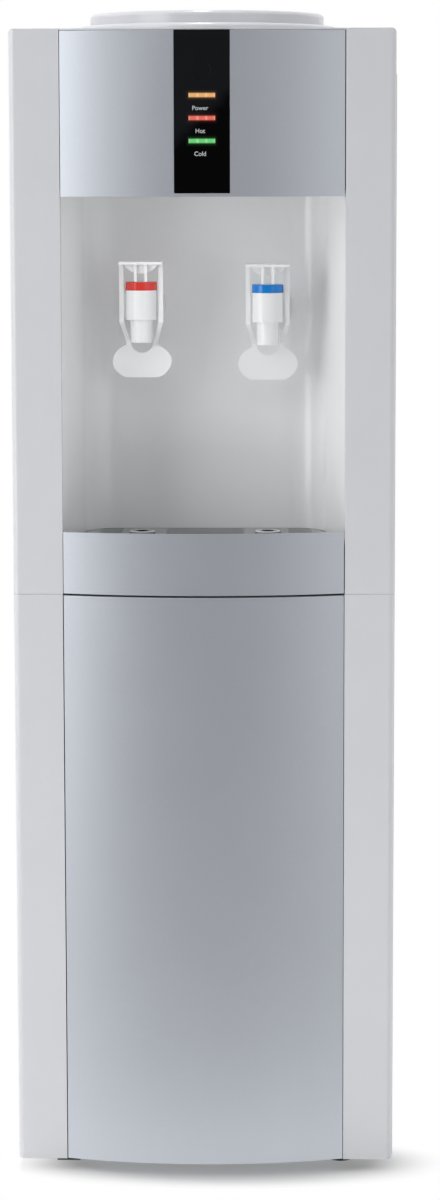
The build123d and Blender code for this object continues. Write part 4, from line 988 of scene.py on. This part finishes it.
class COOLER_OT_stage(bpy.types.Operator):
    """Floor, backdrop, soft light and camera"""
    bl_idname = "cooler.stage"
    bl_label = "Stage"
    bl_options = {"REGISTER", "UNDO"}

    def execute(self, context):
        stage = context.scene.cooler_stage
        self.paper(self.paper_white(stage.floor_white))
        self.room(context.scene, stage)
        aim = Vector((0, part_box("door_panel")[0].y, 0.48))
        self.softbox("Key", Vector((-1.5, -1.2, 0.98)), aim, (1.0, 2.3), stage.key_level)
        self.softbox("Fill", Vector((1.4, -1.5, 0.8)), aim, (1.4, 1.9), stage.fill_level)
        self.softbox("Front", Vector((-0.3, -2.4, 2.3)), aim, (1.6, 0.8), stage.front_box_level)
        self.spot(middle("hot_lever"), stage.tap_spot)
        self.skylight(stage.overhead)
        self.camera(context.scene, stage)
        context.scene.view_settings.view_transform = "Standard"
        return {"FINISHED"}

    def paper(self, paint):
        """One sheet of paper: floor, sweep and backdrop."""
        side = 6.0
        front = -1.4
        back = 3.4
        height = 4.0
        bend = 0.8
        steps_round = 12
        profile = [Vector((0, front, 0))]
        for step in range(steps_round + 1):
            angle = math.pi / 2 * step / steps_round
            profile.append(Vector((0, back - bend + bend * math.sin(angle), bend - bend * math.cos(angle))))
        profile.append(Vector((0, back, height)))
        verts = [tuple(point + Vector((x, 0, 0))) for point in profile for x in (-side, side)]
        faces = [(2 * i, 2 * i + 1, 2 * i + 3, 2 * i + 2) for i in range(len(profile) - 1)]
        mesh = bpy.data.meshes.new("paper")
        mesh.from_pydata(verts, [], faces)
        for face in mesh.polygons:
            face.use_smooth = True
        mesh.materials.append(paint.material)
        add_object("paper", mesh)

    def paper_white(self, floor_white):
        """White that keeps the shadow, is dim where the panels mirror it, and is clear from its reverse."""
        shadow = Vector((0.015, -0.13, 0))
        half_width = 0.19
        half_depth = 0.075
        paint = Paint("paper_white")
        x, y, _ = paint.axes(paint.place)
        ahead = paint.ray("Is Glossy Ray") * (1 - paint.smooth(y, -0.55, -0.15))
        paint.set(Base_Color=paint.mix(ahead, (0.8, 0.8, 0.8, 1), (0.36, 0.36, 0.36, 1)), Roughness=0.9)
        out = paint.length((x - shadow.x) / half_width, (y - shadow.y) / half_depth)
        beside = paint.smooth(out, 0.55, 1.05)
        behind = paint.smooth(y, -0.17, 0.05) * 0.85
        share = floor_white + beside.math("MAXIMUM", behind) * (1 - floor_white)
        share = share * (paint.ray("Is Camera Ray", "Is Glossy Ray", "Is Transmission Ray") - ahead)
        white = paint.node("ShaderNodeEmission", None, {"Color": (1, 1, 1, 1)})
        mixed = paint.node("ShaderNodeMixShader", None, {0: share, 1: paint.surface, 2: white})
        reverse = paint.node("ShaderNodeNewGeometry", output="Backfacing")
        clear = paint.node("ShaderNodeBsdfTransparent")
        mixed = paint.node("ShaderNodeMixShader", None, {0: reverse, 1: mixed, 2: clear})
        paint.node("ShaderNodeOutputMaterial", {"is_active_output": True}, {"Surface": mixed})
        return paint

    def room(self, scene, stage):
        """White all round, dimmer in front and above; plain white where the camera looks past the paper."""
        world = bpy.data.worlds.new("Room")
        world.use_nodes = True
        light = Shading(world.node_tree)
        _, y, z = light.axes(light.node("ShaderNodeTexCoord", output="Generated"))
        front = 1 - light.smooth(y, -0.65, 0.1)
        above = light.smooth(z, 0.35, 0.85)
        level = 1 - front * (1 - stage.front_level)
        level = level + (stage.ceiling_level - level) * above
        level = level + (1 - level) * light.ray("Is Camera Ray")
        sky = light.node("ShaderNodeBackground", None, {"Color": (1, 1, 1, 1), "Strength": level})
        light.node("ShaderNodeOutputWorld", None, {"Surface": sky})
        scene.world = world

    def softbox(self, name, place, aim, size, level):
        """Rectangle of light of the given brightness, out of the camera's sight."""
        light = bpy.data.lights.new(name, "AREA")
        light.shape = "RECTANGLE"
        light.size, light.size_y = size
        light.energy = level * math.pi * size[0] * size[1]
        box = add_object(name, light)
        box.location = place
        box.rotation_euler = (aim - place).to_track_quat("-Z", "Y").to_euler()
        box.visible_camera = False

    def spot(self, aim, power):
        """Narrow light on the white pieces of the hot tap, which the niche's wall keeps in shade."""
        stand = Vector((-0.9, -1.9, 0.35))
        light = bpy.data.lights.new("Tap spot", "SPOT")
        light.energy = power
        light.spot_size = math.radians(12)
        light.spot_blend = 1.0
        light.shadow_soft_size = 0.03
        lamp = add_object("Tap spot", light)
        lamp.location = aim + stand
        lamp.rotation_euler = (-stand).to_track_quat("-Z", "Y").to_euler()
        lit = bpy.data.collections.new("Lit by the tap spot")
        for node in ("hot_tap_body", "hot_tap_stem", "hot_lever"):
            lit.objects.link(bpy.data.objects[node + "_finished"])
        lamp.light_linking.receiver_collection = lit

    def skylight(self, level):
        """Light from above, a little from behind and from the left, which sets the cooler on the floor."""
        light = bpy.data.lights.new("Overhead", "SUN")
        light.energy = level * math.pi
        light.angle = math.radians(4)
        sun = add_object("Overhead", light)
        lean_back = math.radians(2.3)
        lean_left = math.radians(2.6)
        sun.rotation_euler = (-lean_back, -lean_left, 0)

    def camera(self, scene, stage):
        """Camera on the cooler's front, turned by yaw, pitch and roll."""
        data = bpy.data.cameras.new("Camera")
        data.lens = stage.lens
        data.sensor_width = 36
        data.clip_end = 50
        camera = add_object("Camera", data)
        face_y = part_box("lower_front_frame")[0].y
        yaw, pitch, roll = stage.camera_yaw, stage.camera_pitch, stage.camera_roll
        ahead = Vector((math.sin(yaw) * math.cos(pitch), math.cos(yaw) * math.cos(pitch), -math.sin(pitch)))
        level = Vector((math.cos(yaw), -math.sin(yaw), 0))
        above = level.cross(ahead)
        right = level * math.cos(roll) + above * math.sin(roll)
        up = above * math.cos(roll) - level * math.sin(roll)
        turn = Matrix((right, up, -ahead)).transposed().to_4x4()
        place = Vector((stage.camera_side, face_y - stage.camera_reach, stage.camera_height))
        camera.matrix_world = Matrix.Translation(place) @ turn
        scene.camera = camera


class COOLER_PT_panel(bpy.types.Panel):
    """Lists the cooler's sizes and colours and the steps that build it"""
    bl_idname = "COOLER_PT_panel"
    bl_label = "Water Cooler"
    bl_space_type = "VIEW_3D"
    bl_region_type = "UI"
    bl_category = "Water Cooler"

    def draw(self, context):
        for group in (context.scene.cooler_finish, context.scene.cooler_trim, context.scene.cooler_stage):
            column = self.layout.column(align=True)
            for name in group.bl_rna.properties.keys():
                if name not in ("rna_type", "name"):
                    column.prop(group, name)
        for operator in steps:
            self.layout.operator(operator.bl_idname)


groups = {"cooler_finish": CoolerFinish, "cooler_trim": CoolerTrim, "cooler_stage": CoolerStage}
steps = (
    COOLER_OT_cabinet, COOLER_OT_silver_panels, COOLER_OT_display, COOLER_OT_bottle_seat, COOLER_OT_niche,
    COOLER_OT_taps, COOLER_OT_drip_tray, COOLER_OT_cupboard, COOLER_OT_cooling, COOLER_OT_tanks,
    COOLER_OT_rear, COOLER_OT_stage,
)


def register():
    for group in groups.values():
        bpy.utils.register_class(group)
    for name, group in groups.items():
        setattr(bpy.types.Scene, name, bpy.props.PointerProperty(type=group))
    for step in steps:
        bpy.utils.register_class(step)
    bpy.utils.register_class(COOLER_PT_panel)


def unregister():
    bpy.utils.unregister_class(COOLER_PT_panel)
    for step in reversed(steps):
        bpy.utils.unregister_class(step)
    for name, group in groups.items():
        delattr(bpy.types.Scene, name)
        bpy.utils.unregister_class(group)


def main():
    register()
    for step in steps:
        family, name = step.bl_idname.split(".")
        getattr(getattr(bpy.ops, family), name)()


if __name__ == "__main__":
    main()
